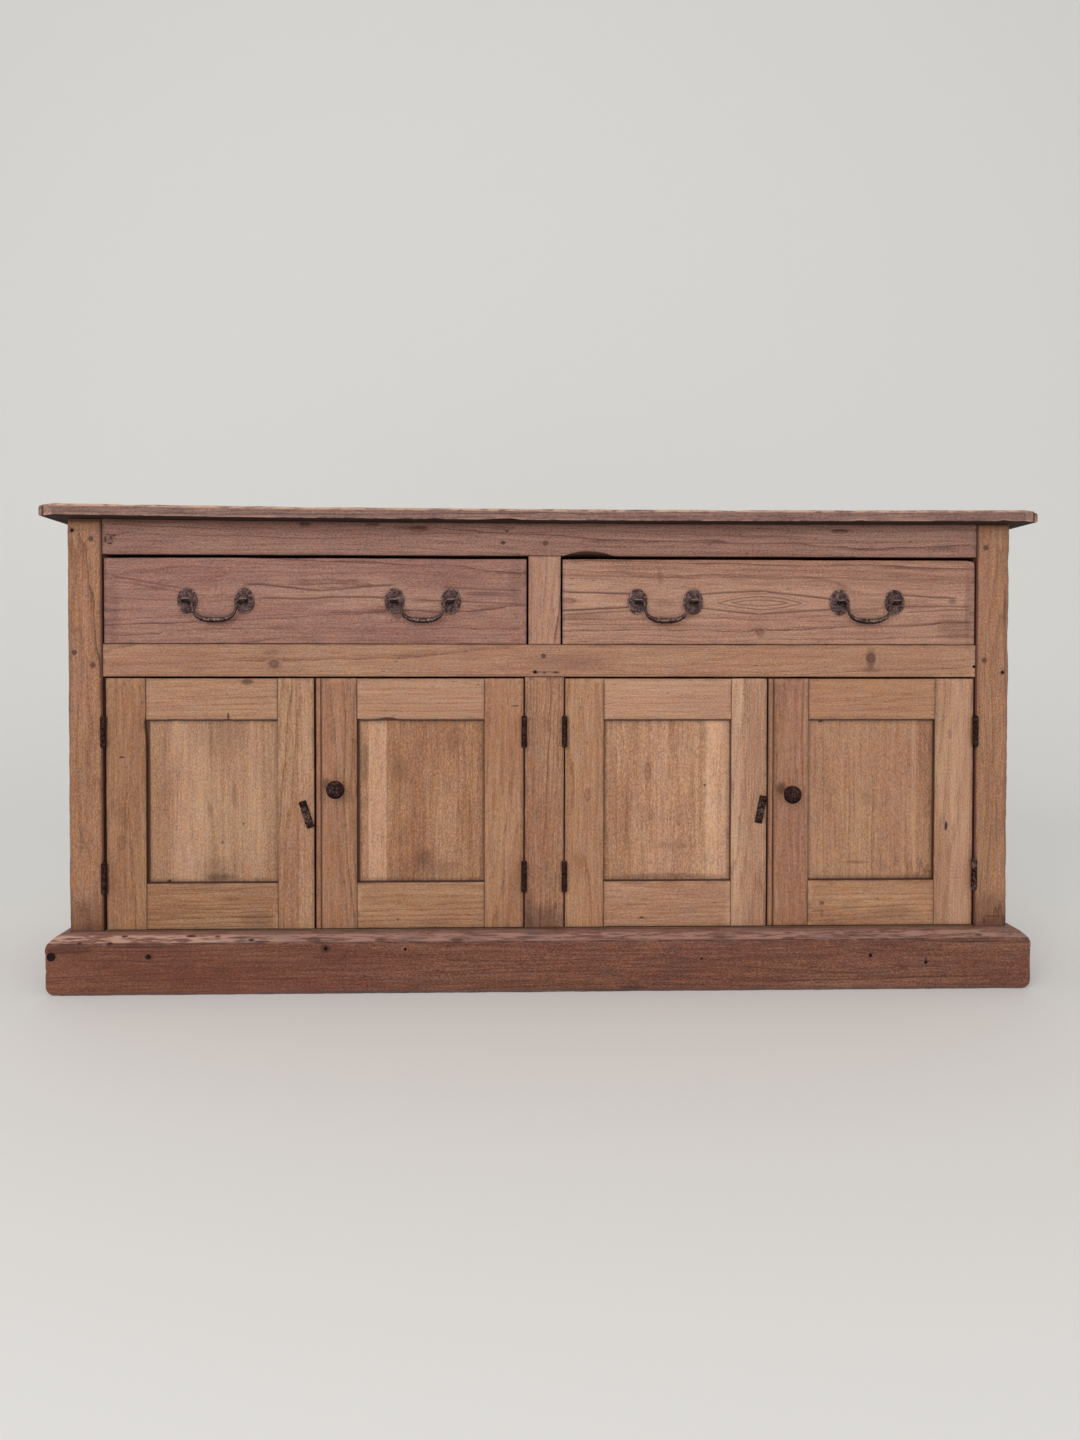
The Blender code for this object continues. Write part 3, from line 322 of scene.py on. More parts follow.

    # dirt and painted shade along the joints, painted shade on the edges and underneath, and a pale arris,
    # worn and with a painted highlight
    ragged = (mottle - 0.5) * 0.010
    distances = (along - start, stop - along, across - foot, head - across)
    grime = []
    for distance, amount, joint in zip(distances, spec["grime"], spec["joint"]):
        if amount > 0:
            most = min(amount * 1.6, 0.9)
            grime.append(spread(distance + ragged, 0.0, spec["grimeWidth"], amount * 0.75, 0.0))
            grime.append(spread(distance + ragged * 0.12, joint * 0.4, joint, most, 0.0))
    deepest = darkest(grime)
    if grime:
        deepest = deepest * spread(deep - front, spec["grimeDepth"], spec["grimeDepth"] * 0.55, 0.25, 1.0)
        colour = finish.blend(deepest, colour, paint(*spec["dirt"]))
    # painted shade on the edges that run back from the face, in the gaps and recesses
    if spec["sides"] > 0:
        edges = spread(deep - front, 0.0010, 0.0032) * spread(deep - front, 0.017, 0.012) * spec["sides"]
        colour = finish.blend(edges, colour, paint(60, 34, 27))
    dull = 0.0
    # painted shade on what faces down
    if spec["under"] > 0:
        under = spread(finish.carried("under"), 0.6, 0.9)
        dull = under * 0.4
        colour = finish.blend(under * spec["under"], colour, paint(*spec["soot"]))
    # a pale arris: worn wood with a painted highlight
    worn = finish.carried("arris") * spread(mottle + (cloud - 0.5) * 0.4, 0.38, 0.62) * spec["rub"]
    if grime:
        worn = worn * (1 - deepest)
    colour = finish.blend(worn, colour, shade(spec["light"], 1.12))
    height = (late * 0.5) + (fibre * 0.6) + (grit * 0.7) - (specks * 0.9) + (mottle * 0.8)
    bump = add("ShaderNodeBump", {}, {"Strength": 0.65, "Distance": 0.0006, "Height": height})
    rough = (fibre - 0.5) * 0.18 + spec["rough"] - worn * 0.06 + dull
    finish.set(Base_Color=colour, Roughness=rough, Normal=bump, Specular_IOR_Level=0.3)
    return finish.material


def reopen(material):
    # the finish of a material that is made already, and the wire that holds its colour
    finish = Finish.__new__(Finish)
    finish.material, finish.tree = material, material.node_tree
    finish.shader = finish.tree.nodes["Principled BSDF"]
    return finish, Wire(finish, finish.shader.inputs["Base Color"].links[0].from_socket)


iron = {
    "dark": (30, 13, 12),
    "body": (52, 30, 27),
    # the colour of worn metal and of painted highlights
    "rubbed": (132, 104, 96),
    "rust": (82, 54, 46),
    "rough": 0.62,
    "metal": 0.08,
    "pitSize": 300.0,           # pits and clouds to a metre
    "cloudSize": 95.0,
    "soot": 0.92,               # how dark the painted shade on its undersides is
}


def makeIron(name, **changes):
    spec = dict(iron, **changes)
    finish = Finish(name)
    where = finish.place("")[0]
    pits = finish.noise(where, (spec["pitSize"],) * 3, 2.0, 0.6)
    cloud = finish.noise(where, (spec["cloudSize"],) * 3, 2.0)
    rub, under = finish.carried("rub"), finish.carried("under")
    patches = finish.spread(pits + (cloud - 0.5) * 0.6, 0.36, 0.60)
    colour = finish.blend(patches, paint(*spec["dark"]), paint(*spec["body"]))
    colour = finish.blend(finish.spread(pits, 0.54, 0.66) * 0.8, colour, paint(*spec["rust"]))
    # pale where the metal is worn and where a highlight is painted
    shine = finish.spread(rub + (pits - 0.5) * 1.6 + (cloud - 0.5) * 0.6, 0.42, 0.85)
    colour = finish.blend(shine * 0.85, colour, paint(*spec["rubbed"]))
    # painted shade on the undersides
    colour = finish.blend(finish.spread(under, 0.05, 0.5) * spec["soot"], colour, paint(20, 11, 11))
    bump = finish.add("ShaderNodeBump", {}, {"Strength": 0.8, "Distance": 0.0008, "Height": pits})
    finish.set(Base_Color=colour, Metallic=spec["metal"], Roughness=spec["rough"] - shine * 0.12, Normal=bump,
               Specular_IOR_Level=0.12)
    return finish.material


# Shapes

def ripple(points, size, seed):  # smooth noise out of a few waves, about -1 to 1
    chance = np.random.default_rng(seed)
    total = np.zeros(len(points))
    for wave in range(8):
        way = chance.normal(size=3)
        way = math.tau * way / np.linalg.norm(way) / np.asarray(size)
        total += np.sin(points @ way + chance.uniform(0, math.tau))
    return total / 3.4


def roundCorner(before, corner, after, radius, steps):
    # points of one corner and how far each is round it
    if radius <= 0:
        return [corner], [0.0]
    toBefore, toAfter = before - corner, after - corner
    longest = min(np.linalg.norm(toBefore), np.linalg.norm(toAfter))
    if longest < 1e-7:
        return [corner] * (steps + 1), [0.0] * (steps + 1)
    toBefore = toBefore / max(np.linalg.norm(toBefore), 1e-9)
    toAfter = toAfter / max(np.linalg.norm(toAfter), 1e-9)
    half = math.acos(float(np.clip(toBefore @ toAfter, -1, 1))) / 2
    if half > math.radians(88):
        return [corner] * (steps + 1), [0.0] * (steps + 1)
    reach = min(radius / math.tan(half), longest * 0.45)
    radius = reach * math.tan(half)
    inward = (toBefore + toAfter) / np.linalg.norm(toBefore + toAfter)
    centre = corner + inward * radius / math.sin(half)
    sweep = math.pi / 2 - half
    side = np.array([-inward[1], inward[0]])
    side = side * np.sign(side @ toAfter)
    points, shares = [], []
    for step in range(steps + 1):
        turn = -sweep + 2 * sweep * step / steps
        points.append(centre + (-inward * math.cos(turn) + side * math.sin(turn)) * radius)
        shares.append(1 - abs(2 * step / steps - 1) * 0.6)
    return points, shares


def ringOf(corners, counts):
    # one closed outline: rounded corners, and points along the straight sides
    points, shares, arcs = [], [], []
    total = len(corners)
    for index in range(total):
        near = [np.array(corners[(index + shift) % total][:2]) for shift in (-1, 0, 1)]
        arcs.append(roundCorner(*near, corners[index][2], board["cornerSteps"]))
    for index in range(total):
        arcPoints, arcShares = arcs[index]
        points += arcPoints
        shares += arcShares
        first, last = arcPoints[-1], arcs[(index + 1) % total][0][0]
        length = np.linalg.norm(last - first)
        edge = min(board["support"] / length, 0.2) if length > 1e-7 else 0.2
        for number in range(counts[index]):
            part = edge + (1 - 2 * edge) * number / max(counts[index] - 1, 1)
            points.append(first + (last - first) * part)
            shares.append(0.0)
    return np.array(points), np.array(shares)


def ringNormals(points):
    # outward normals of a closed outline that runs counter-clockwise
    ahead = np.roll(points, -1, axis=0) - points
    behind = points - np.roll(points, 1, axis=0)
    for run in (ahead, behind):
        length = np.linalg.norm(run, axis=1)
        run[length > 1e-9] /= length[length > 1e-9][:, None]
    both = ahead + behind
    normals = np.stack([both[:, 1], -both[:, 0]], axis=1)
    return normals / np.maximum(np.linalg.norm(normals, axis=1), 1e-9)[:, None]


def loopFaces(count, rings):
    # the faces of a closed shape that is made of rings with count points each
    faces = []
    for ring in range(rings - 1):
        for number in range(count):
            after = (number + 1) % count
            faces.append((ring * count + number, ring * count + after,
                          (ring + 1) * count + after, (ring + 1) * count + number))
    faces.append(tuple(range(count))[::-1])
    faces.append(tuple(range((rings - 1) * count, rings * count)))
    return faces


def fallAt(radius, gap):
    # how far a quarter round has fallen, at this distance from its end
    return radius - math.sqrt(max(radius ** 2 - (radius - gap) ** 2, 0)) if gap < radius else 0.0


board = {
    "step": 0.011,          # length between rings
    "sideStep": 0.012,      # spacing of points along a side
    "cornerSteps": 4,
    "support": 0.0012,      # distance of a side's first points from its corners
    "shortSide": 0.004,     # a side without points of its own
    "endRound": 0.0012,
    "wear": 0.45,           # how much an arris' radius varies
    "wave": 0.00016,        # how far the faces stray from flat
    "dents": (),            # place, reach and push
    "bend": None,           # moves whole points, for a sag
    "stations": (),
    "seed": 1,
}


def sweepBoard(name, axis, start, finish, cornersAt, **changes):
    # rings of one board; cornersAt gives the outline's corners, each with its radius, at a place along it
    spec = dict(board, **changes)
    ends = spec["endRound"]
    inner = max(int((finish - start - 2 * ends) / spec["step"]), 2)
    places = [start + ends * share for share in (0.0, 0.3, 0.65)]
    places += list(np.linspace(start + ends, finish - ends, inner + 1))
    places += [finish - ends * share for share in (0.65, 0.3, 0.0)]
    places = sorted(set(places + [place for place in spec["stations"] if start < place < finish]))
    middle = cornersAt((start + finish) / 2)
    area = np.sum([a[0] * b[1] - b[0] * a[1] for a, b in zip(middle, middle[1:] + middle[:1])])
    way = -1 if area < 0 else 1         # outlines run counter-clockwise
    middle = middle[::way]
    counts = []
    for first, second in zip(middle, middle[1:] + middle[:1]):
        length = math.dist(first[:2], second[:2])
        counts.append(0 if length < spec["shortSide"] else 2 + int(length / spec["sideStep"]))
    plane = [index for index, letter in enumerate("xyz") if letter != axis]
    line = "xyz".index(axis)
    cloud, arris, normals, under = [], [], [], []
    upright = plane.index(2) if 2 in plane else None
    for place in places:
        corners = []
        for number, (a, b, radius) in enumerate(cornersAt(place)[::way]):
            probe = np.array([[place, number * 7.3, spec["seed"] * 1.7]])
            grow = 1 + spec["wear"] * ripple(probe, 0.06, spec["seed"])[0]
            grow += spec["wear"] * 0.6 * ripple(probe, 0.017, spec["seed"] + 9)[0]
            corners.append((a, b, radius * min(max(grow, 0.35), 2.6) if radius > 0 else 0.0))
        ring, shares = ringOf(corners, counts)
        outward = ringNormals(ring)
        gap = min(place - start, finish - place)
        if gap < ends:
            ring = ring - outward * fallAt(ends, gap)
        points = np.zeros((len(ring), 3))
        points[:, line] = place
        points[:, plane] = ring
        normal = np.zeros((len(ring), 3))
        normal[:, plane] = outward
        cloud.append(points)
        normals.append(normal)
        arris.append(shares if gap >= ends else np.ones(len(ring)))
        # how far each point faces down, where the finish may paint shade
        under.append(np.zeros(len(ring)) if upright is None else np.clip(-outward[:, upright], 0, 1))
    points, normals = np.concatenate(cloud), np.concatenate(normals)
    size = np.full(3, 0.05)
    size[line] = 0.16
    points = points + normals * (spec["wave"] * ripple(points, size, spec["seed"] + 3))[:, None]
    for place, reach, push in spec["dents"]:
        steps = (points - np.array(place)) / np.array(reach)
        points = points + np.exp(-np.sum(steps ** 2, axis=1))[:, None] * np.array(push)
    if spec["bend"]:
        points = spec["bend"](points)
    faces = loopFaces(len(cloud[0]), len(places))
    return meshPiece(name, points, faces, {"arris": np.concatenate(arris), "under": np.concatenate(under)})


def addObject(name, data):
    item = bpy.data.objects.new(name, data)
    bpy.context.scene.collection.objects.link(item)
    return item


def markUnder(piece):
    # how far each point of the ironwork faces down, where its finish paints shade
    mesh = piece.data
    down = [min(max(-vertex.normal.z, 0.0), 1.0) for vertex in mesh.vertices]
    mesh.attributes.new("under", "FLOAT", "POINT").data.foreach_set("value", down)


def weld(mesh, sharp, repair=True):
    # joins points that coincide, then smooths all but the sharp edges
    shape = bmesh.new()
    shape.from_mesh(mesh)
    bmesh.ops.remove_doubles(shape, verts=shape.verts, dist=1e-6)
    if repair:
        bmesh.ops.dissolve_degenerate(shape, edges=shape.edges, dist=1e-7)
        bmesh.ops.recalc_face_normals(shape, faces=shape.faces)
    shape.to_mesh(mesh)
    shape.free()
    mesh.shade_smooth()
    mesh.set_sharp_from_angle(angle=math.radians(sharp))


def meshPiece(name, points, faces, values, sharp=38):
    mesh = bpy.data.meshes.new(name)
    mesh.from_pydata([tuple(point) for point in points], [], faces)
    for key, numbers in values.items():
        attribute = mesh.attributes.new(key, "FLOAT", "POINT")
        attribute.data.foreach_set("value", np.asarray(numbers, np.float32))
    weld(mesh, sharp)
    return addObject(name, mesh)


def finishPiece(piece, body, material, slot, *replaced):
    piece.data.materials.clear()
    piece.data.materials.append(material)
    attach(piece, body)
    if replaced:
        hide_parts(*replaced)
    return piece


def rectangle(lowA, highA, lowB, highB, radii):
    # corners in turn: low low, high low, high high, low high
    places = ((lowA, lowB), (highA, lowB), (highA, highB), (lowA, highB))
    return [(a, b, radius) for (a, b), radius in zip(places, radii)]


def rearCentre(name):
    # the middle of a node's box, on its rear face
    low, high = boxOf[name]
    return (low.x + high.x) / 2, high.y, (low.z + high.z) / 2


def plainBoard(name, node, axis, radii, material, slot, body="root", low=None, high=None, **changes):
    # a straight board in a node's place, with its own arris radii
    if low is None:
        low, high = boxOf[node]
    plane = [index for index, letter in enumerate("xyz") if letter != axis]
    line = "xyz".index(axis)
    corners = rectangle(low[plane[0]], high[plane[0]], low[plane[1]], high[plane[1]], radii)
    piece = sweepBoard(name, axis, low[line], high[line], lambda place: corners, **changes)
    return finishPiece(piece, body, material, slot, node)


# Worktop: three boards and a lipping at each end. It has cupped a little at its ends and sags between

worktop = {
    "boardJoints": (0.178, 0.331),     # behind the front edge
    "jointGap": 0.0005,
    "cantLength": 0.036,
    "cantDepth": 0.022,
    "lipping": 0.009,
    "lippingGap": 0.0026,
    "lippingDrop": 0.0016,
    "lippingRound": 0.0045,
    "frontRadii": (0.0020, 0.0032),    # of the lower and the upper arris
    "sag": (0.0007, -0.0018, 0.0056),  # height of the middle, tilt and curve over its length
    "tones": (
        {"dark": (112, 83, 75), "middle": (150, 117, 108), "light": (180, 144, 128), "seed": 3.0},
        {"dark": (112, 80, 66), "middle": (148, 112, 92), "light": (172, 136, 113), "seed": 17.0},
        {"dark": (108, 77, 64), "middle": (144, 109, 90), "light": (170, 134, 111), "seed": 29.0},
    ),
    "lowNicks": (                      # along the front edge: place, reach, push back and push up
        (-0.076, (0.020, 0.006, 0.0035), 0.0030, 0.0030), (-0.060, (0.010, 0.006, 0.004), 0.0024, 0.0026),
        (-0.33, (0.006, 0.004, 0.003), 0.0012, 0.0016), (-0.20, (0.009, 0.004, 0.003), 0.0014, 0.0018),
        (0.575, (0.011, 0.005, 0.004), 0.0018, 0.0024), (0.842, (0.008, 0.005, 0.004), 0.0015, 0.0020),
    ),
    "highNicks": (
        (-0.745, (0.012, 0.006, 0.004), 0.0014, -0.0016), (-0.43, (0.030, 0.008, 0.004), 0.0010, -0.0012),
        (0.34, (0.022, 0.008, 0.004), 0.0012, -0.0012),
    ),
}
topLow, topHigh = boxOf["worktop"]


def sagAt(x):
    level, tilt, curve = worktop["sag"]
    return level + tilt * x + curve * x * x


def sagTop(points):
    share = np.clip((0.1 - points[:, 1]) / (0.1 - topLow.y), 0, 1)
    moved = points.copy()
    moved[:, 2] += sagAt(points[:, 0]) * share
    return moved


def sagFrame(points):
    # the tops of the rail and the posts follow the worktop
    low, high = boxOf["top_rail"]
    share = np.clip((points[:, 2] - low.z) / (high.z - low.z), 0, 1) * 0.96
    return points + (sagTop(points) - points) * share[:, None]


def frontEdgeAt(x):
    slope = worktop["cantDepth"] / worktop["cantLength"]
    return topLow.y + max(0.0, abs(x) - (topHigh.x - worktop["cantLength"])) * slope


def paintFrontEdge(material):
    # a pale upper arris, worn wood with a painted highlight, and short dark cracks; the board's top is
    # browner than its edge
    finish, base = reopen(material)
    where, along, depth, height = finish.place("xyz")
    level, tilt, curve = worktop["sag"]
    below = along * along * curve + along * tilt + (level + topHigh.z) - height
    streaks = finish.noise(where, (11.0, 60.0, 420.0), 3.0, 0.6)
    blots = finish.noise(where, (45.0, 60.0, 200.0), 2.0)
    top = finish.spread(depth, topLow.y + 0.004, topLow.y + 0.030)
    colour = finish.blend(top, base, paint(252, 244, 219), "MULTIPLY")
    edge = finish.spread(depth, topLow.y + 0.006, topLow.y + 0.003)
    # the pale upper arris: worn wood with a painted highlight
    pale = edge * finish.spread(below, 0.0060, 0.0026)
    pale = pale * finish.spread(blots + (streaks - 0.5) * 0.6, 0.36, 0.56)
    colour = finish.blend(pale * 0.8, colour, paint(212, 170, 143))
    crack = edge * finish.spread(below, 0.0038, 0.0054) * finish.spread(streaks, 0.55, 0.64)
    colour = finish.blend(crack * 0.55, colour, paint(88, 54, 48))
    finish.set(Base_Color=colour)


def makeWorktop():
    inner = topHigh.x - worktop["lipping"] - worktop["lippingGap"] / 2
    depths = [0.0, *worktop["boardJoints"], topHigh.y - topLow.y]
    gap = worktop["jointGap"] / 2
    for number, label in enumerate(("front", "middle", "back")):
        near = topLow.y + depths[number] + (gap if number else 0)
        far = topLow.y + depths[number + 1] - (gap if number < 2 else 0)
        low, high = Vector((-inner, near, topLow.z)), Vector((inner, far, topHigh.z))
        tones = worktop["tones"][number]
        # its underside is painted in dark shade
        material = makePine("worktopPine%d" % (number + 1), low, high, axes="xyz", pithAcross=0.07,
                            pithDepth=0.11 + 0.03 * number, ringWidth=0.0034, specks=0.8, rub=0.85,
                            lean=0.015, rings=0.95, streak=0.6, under=0.95, soot=(34, 16, 13),
                            grime=(0.6, 0.6, 0.25, 0.25), grimeWidth=0.004,
                            joint=(0.0048, 0.0048, 0.0012, 0.0012), **tones)
        changes = {"bend": sagTop, "endRound": 0.0008, "seed": 33 + number, "step": 0.016}
        farRadii = (0.0012, 0.0020) if number == 2 else (0.0006, 0.0008)
        radii = (0.0006, *farRadii, 0.0008)
        if number == 0:
            paintFrontEdge(material)
            lower, upper = worktop["frontRadii"]
            radii = (lower, *farRadii, upper)
            cantStart = topHigh.x - worktop["cantLength"]
            dents = [((x, topLow.y, level), reach, (0, back, up))
                     for key, level in (("lowNicks", topLow.z), ("highNicks", topHigh.z))
                     for x, reach, back, up in worktop[key]]
            changes.update(seed=31, step=0.009, wear=0.3, dents=dents, stations=(-cantStart, cantStart))

        def corners(x, near=near, far=far, radii=radii, canted=number == 0):
            return rectangle(frontEdgeAt(x) if canted else near, far, topLow.z, topHigh.z, radii)

        piece = sweepBoard("worktop_%s_board" % label, "x", -inner, inner, corners, **changes)
        finishPiece(piece, "root", material, "worktop_pine", "worktop")


def makeLippings():
    for side, label in ((-1, "left"), (1, "right")):
        near = topHigh.x - worktop["lipping"] + worktop["lippingGap"] / 2
        head = topHigh.z - worktop["lippingDrop"] * (1.4 if side > 0 else 0.6)
        low = Vector((min(side * near, side * topHigh.x), topLow.y, topLow.z))
        high = Vector((max(side * near, side * topHigh.x), topHigh.y, head))
        # the underside is painted in dark shade
        material = makePine("lippingPine" + label.title(), low, high, axes="yzx", dark=(106, 76, 68),
                            middle=(150, 116, 104), light=(182, 147, 131), seed=5.0 + side, pithDepth=0.2,
                            grime=(0.0, 0.3, 0.35, 0.25), rub=0.6, grimeWidth=0.003, under=0.95,
                            soot=(34, 16, 13))

        def corners(x, head=head):
            fall = fallAt(worktop["lippingRound"], topHigh.x - abs(x))
            return rectangle(frontEdgeAt(x) + 0.0006, topHigh.y, topLow.z + fall * 0.55, head - fall,
                             (0.0014, 0.0010, 0.0010, 0.0016))

        piece = sweepBoard("worktop_lipping_" + label, "x", low.x, high.x, corners, bend=sagTop, step=0.0011,
                           seed=41 + side, endRound=0.0007, wear=0.35, wave=0.00012)
        finishPiece(piece, "root", material, "worktop_pine", "worktop")


makeWorktop()
makeLippings()
print("worktop made")


# Face frame

frameTone = {"dark": (126, 87, 66), "middle": (151, 110, 86), "light": (176, 134, 107)}
railTone = {"dark": (114, 78, 68), "middle": (142, 105, 92), "light": (166, 127, 113)}
framePegs = [(-0.8304, 0.8304), (-0.8619, 0.6221), (-0.8281, 0.5991), (0.8282, 0.8206), (0.8271, 0.6097),
             (0.0013, 0.8255), (-0.0018, 0.6167)]
frameNails = [(-0.8643, 0.8453), (0.8076, 0.5976), (0.8620, 0.5868), (-0.0176, 0.5870)]


topRail = {
    "biteStart": 0.034,         # the lower edge is worn away to a slope that runs back
    "biteLength": 0.096,
    "biteDepth": 0.009,
    "biteBack": 0.25,
    "figures": inMetres(
        (-234, 851, 16, 6, 2.5, 0.75), (-318, 857, 12, 4, 1.5, 0.6), (-76.9, 826.3, 4.5, 4, 1.5, 0.8),
        (-70, 847.5, 4, 4, 1.0, 0.55), (552, 850, 16, 4.5, 1.5, 0.85), (-441, 857, 10, 4, 1.5, 0.6)
    ),
    "stains": inMetres(
        (-804.5, 829, 2.8, 8.5, 1.0), (-797, 821.5, 7, 2.6, 1.0), (-794.5, 832, 3, 6, 0.9),
        (-788.5, 836.5, 5.5, 2.4, 0.9), (-800, 838, 5, 1.8, 0.8), (-797, 829, 12, 10, 0.4),
        (-76.9, 826.3, 5.5, 4.2, 0.9), (-70, 847.5, 5, 3, 0.7), (-441, 859, 14, 4, 0.7),
        (552, 851.5, 20, 3, 0.8), (-234, 853, 20, 3.5, 0.7), (-318, 859, 16, 3, 0.6),
        (1.3, 826, 7.5, 6.5, 0.5), (-250, 853, 40, 5, 0.45), (-80, 853, 30, 6, 0.35)
    ),
    "lines": inMetres(
        (-787, 836.5, -758, 842.5, 1, 2.2, 0.9), (-700, 838, -300, 832, 10, 3, 0.5),
        (-260, 840, 20, 846, 10, 3, 0.45), (100, 845, 500, 838, 10, 3, 0.45),
        (220, 826, 700, 829, 10, 3, 0.4), lengths=6
    ),
}


def makeTopRail():
    low, high = boxOf["top_rail"]
    start, length, depth = topRail["biteStart"], topRail["biteLength"], topRail["biteDepth"]

    def corners(x):
        share = (x - start) / length
        rise = depth * (1 - (2 * share - 1) ** 2) if 0 < share < 1 else 0.0
        return [(low.y, low.z + rise, 0.0016), (high.y, low.z + rise * topRail["biteBack"], 0.0008),
                (high.y, high.z, 0.0008), (low.y, high.z, 0.0008)]

    dents = [
        ((-0.797, low.y, 0.829), (0.006, 0.004, 0.005), (0, 0.0022, 0)),
        ((-0.786, low.y, 0.836), (0.009, 0.004, 0.002), (0, 0.0012, 0)),
        ((start + length / 2, low.y, low.z + depth), (0.03, 0.006, 0.004), (0, 0.0022, 0.0008)),
    ]
    stations = list(np.linspace(start - 0.004, start + length + 0.004, 40))
    piece = sweepBoard("face_top_rail", "x", low.x, high.x, corners, bend=sagFrame, seed=51,
                       stations=stations, dents=dents, step=0.010)
    marks = {key: topRail[key] for key in ("figures", "stains", "lines")}
    # dirt and painted shade along the top, under the worktop, and painted shade on the slope underneath
    material = makePine("topRailPine", low, high, seed=7.0, pithDepth=0.12, pithAcross=-0.09, ringWidth=0.006,
                        grime=(0.5, 0.5, 0.35, 0.30), grimeWidth=0.010, under=0.3, specks=1.0, grit=1.1,
                        **marks, **railTone)
    finishPiece(piece, "root", material, "frame_pine", "top_rail")


frameLook = {
    "mid_rail": {
        "seed": 11.0, "pithDepth": 0.1, "pithAcross": 0.03, "rings": 0.45, "sides": 0.7,
        "dark": (137, 97, 78), "middle": (162, 121, 98), "light": (184, 144, 119),
        "grime": (0.55, 0.55, 0.35, 0.35),
        "figures": inMetres((-498.5, 601.4, 8.5, 7, 3.5, 0.75), (612.2, 614, 9, 9.5, 4.0, 0.85)),
        "stains": inMetres(
            (-16.5, 586.8, 7.5, 3.6, 1.0), (0, 585.8, 5, 3, 0.9), (21.5, 586, 8, 3, 0.9),
            (-2, 587, 30, 2.2, 0.6), (50, 607, 100, 20, 0.18), (612, 590, 20, 6, 0.4),
            (612, 612, 11, 22, 0.55), (-498.5, 600, 18, 13, 0.35), (-503, 622, 20, 8, 0.3),
            (-420, 606, 420, 40, 0.09)
        ),
    },
    "drawer_muntin": {
        "axes": "zxy", "seed": 13.0, "pithDepth": 0.2, "sides": 0.7, "dark": (140, 100, 86),
        "middle": (164, 123, 103), "light": (182, 142, 122), "grime": (0.3, 0.3, 0.45, 0.35),
    },
    "centre_stile": {
        "axes": "zxy", "seed": 15.0, "pithDepth": 0.09, "slope": 0.02, "sides": 0.7, "dark": (122, 84, 64),
        "middle": (152, 111, 87), "light": (178, 139, 112), "grime": (0.75, 0.4, 0.5, 0.45),
        "figures": inMetres((486.7, 8.5, 13, 3.5, 1.5, 0.5), (150.8, 21.9, 7, 2.8, 0.5, 0.8)),
        "stains": inMetres((125, 0, 35, 50, 0.5), (135, -28, 50, 10, 0.5)),
    },
}
frameBoards = (     # piece, node, axis, material, arrises, seed
    ("face_mid_rail", "mid_rail", "x", "midRailPine", (0.0014, 0.0008, 0.0008, 0.0014), 53),
    ("face_muntin", "drawer_muntin", "z", "muntinPine", (0.0013, 0.0013, 0.0008, 0.0008), 55),
    ("face_centre_stile", "centre_stile", "z", "centreStilePine", (0.0012, 0.0012, 0.0008, 0.0008), 57),
)


def makeFaceFrame():
    for piece, node, axis, pineName, radii, seed in frameBoards:
        material = makePine(pineName, *boxOf[node], **frameLook[node])
        plainBoard(piece, node, axis, radii, material, "frame_pine", seed=seed)


post = {
    "outerArris": 0.0024,
    "dents": ((0.792, 0.016, 0.0014), (0.70, 0.010, 0.0007), (0.642, 0.02, 0.0010), (0.45, 0.012, 0.0006),
              (0.30, 0.02, 0.0008), (0.21, 0.01, 0.0007)),     # height, reach and push on the right one
    "footStains": ((0.13, 0.05, 0.42), (0.10, 0.03, 0.5)),     # height, reach and strength
    "cracks": inMetres((118, 831.5, 9, 1.8, 0.9), (126.5, 848, 1.6, 17, 0.7)),
    "edgeStains": ((0.71, 0.008, 0.05, 0.5), (0.62, 0.007, 0.07, 0.4), (0.30, 0.02, 0.05, 0.35)),
}


def makePost(side, label):
    node = "front_post_" + label
    low, high = boxOf[node]
    dents = []
    middle = (low.x + high.x) / 2
    stains = tuple((z, middle, reach, 0.06, strength) for z, reach, strength in post["footStains"])
    if side > 0:
        dents = [((high.x, low.y, height), (0.004, 0.004, reach), (-push, push * 0.6, 0))
                 for height, reach, push in post["dents"]]
        stains += post["cracks"]
        stains += tuple((z, high.x - inset, reach, 0.003, strength)
                        for z, inset, reach, strength in post["edgeStains"])
    for level in ("upper", "lower"):        # halos round the hinges, which are painted shade, and round the pegs and the nails
        ends = boxOf["hinge_%s_%d" % (level, 1 if side < 0 else 4)]
        stains += (((ends[0].z + ends[1].z) / 2, high.x if side < 0 else low.x, 0.034, 0.0070, 0.80),)
    stains += tuple((z, x, 0.0075, 0.0070, 0.45) for x, z in framePegs + frameNails)
    grime, joint = (0.85, 0.45), (0.0050, 0.0012)       # the darker edge, with dirt and painted shade, is the one beside the doors
    if side < 0:
        grime, joint = grime[::-1], joint[::-1]
    material = makePine("postPine" + label.title(), low, high, axes="zxy", seed=19.0 + side, stains=stains,
                        pithDepth=0.10 if side > 0 else 0.20, pithAcross=0.030 * side, slope=0.01 * side,
                        grime=(0.55, 0.45, *grime), joint=(0.002, 0.002, *joint), grimeWidth=0.009,
                        grimeDepth=0.007, rings=0.8, bands=0.22, grit=1.1, dirt=(76, 39, 30), **frameTone)
    outer = post["outerArris"]
    radii = (outer, 0.0012, 0.0008, 0.0010) if side < 0 else (0.0012, outer, 0.0010, 0.0008)
    plainBoard("face_post_" + label, node, "z", radii, material, "frame_pine", seed=61 + side, dents=dents,
               wear=0.55, bend=sagFrame)


makeTopRail()
makeFaceFrame()
makePost(-1, "left")
makePost(1, "right")
print("face frame made")


# Plinth

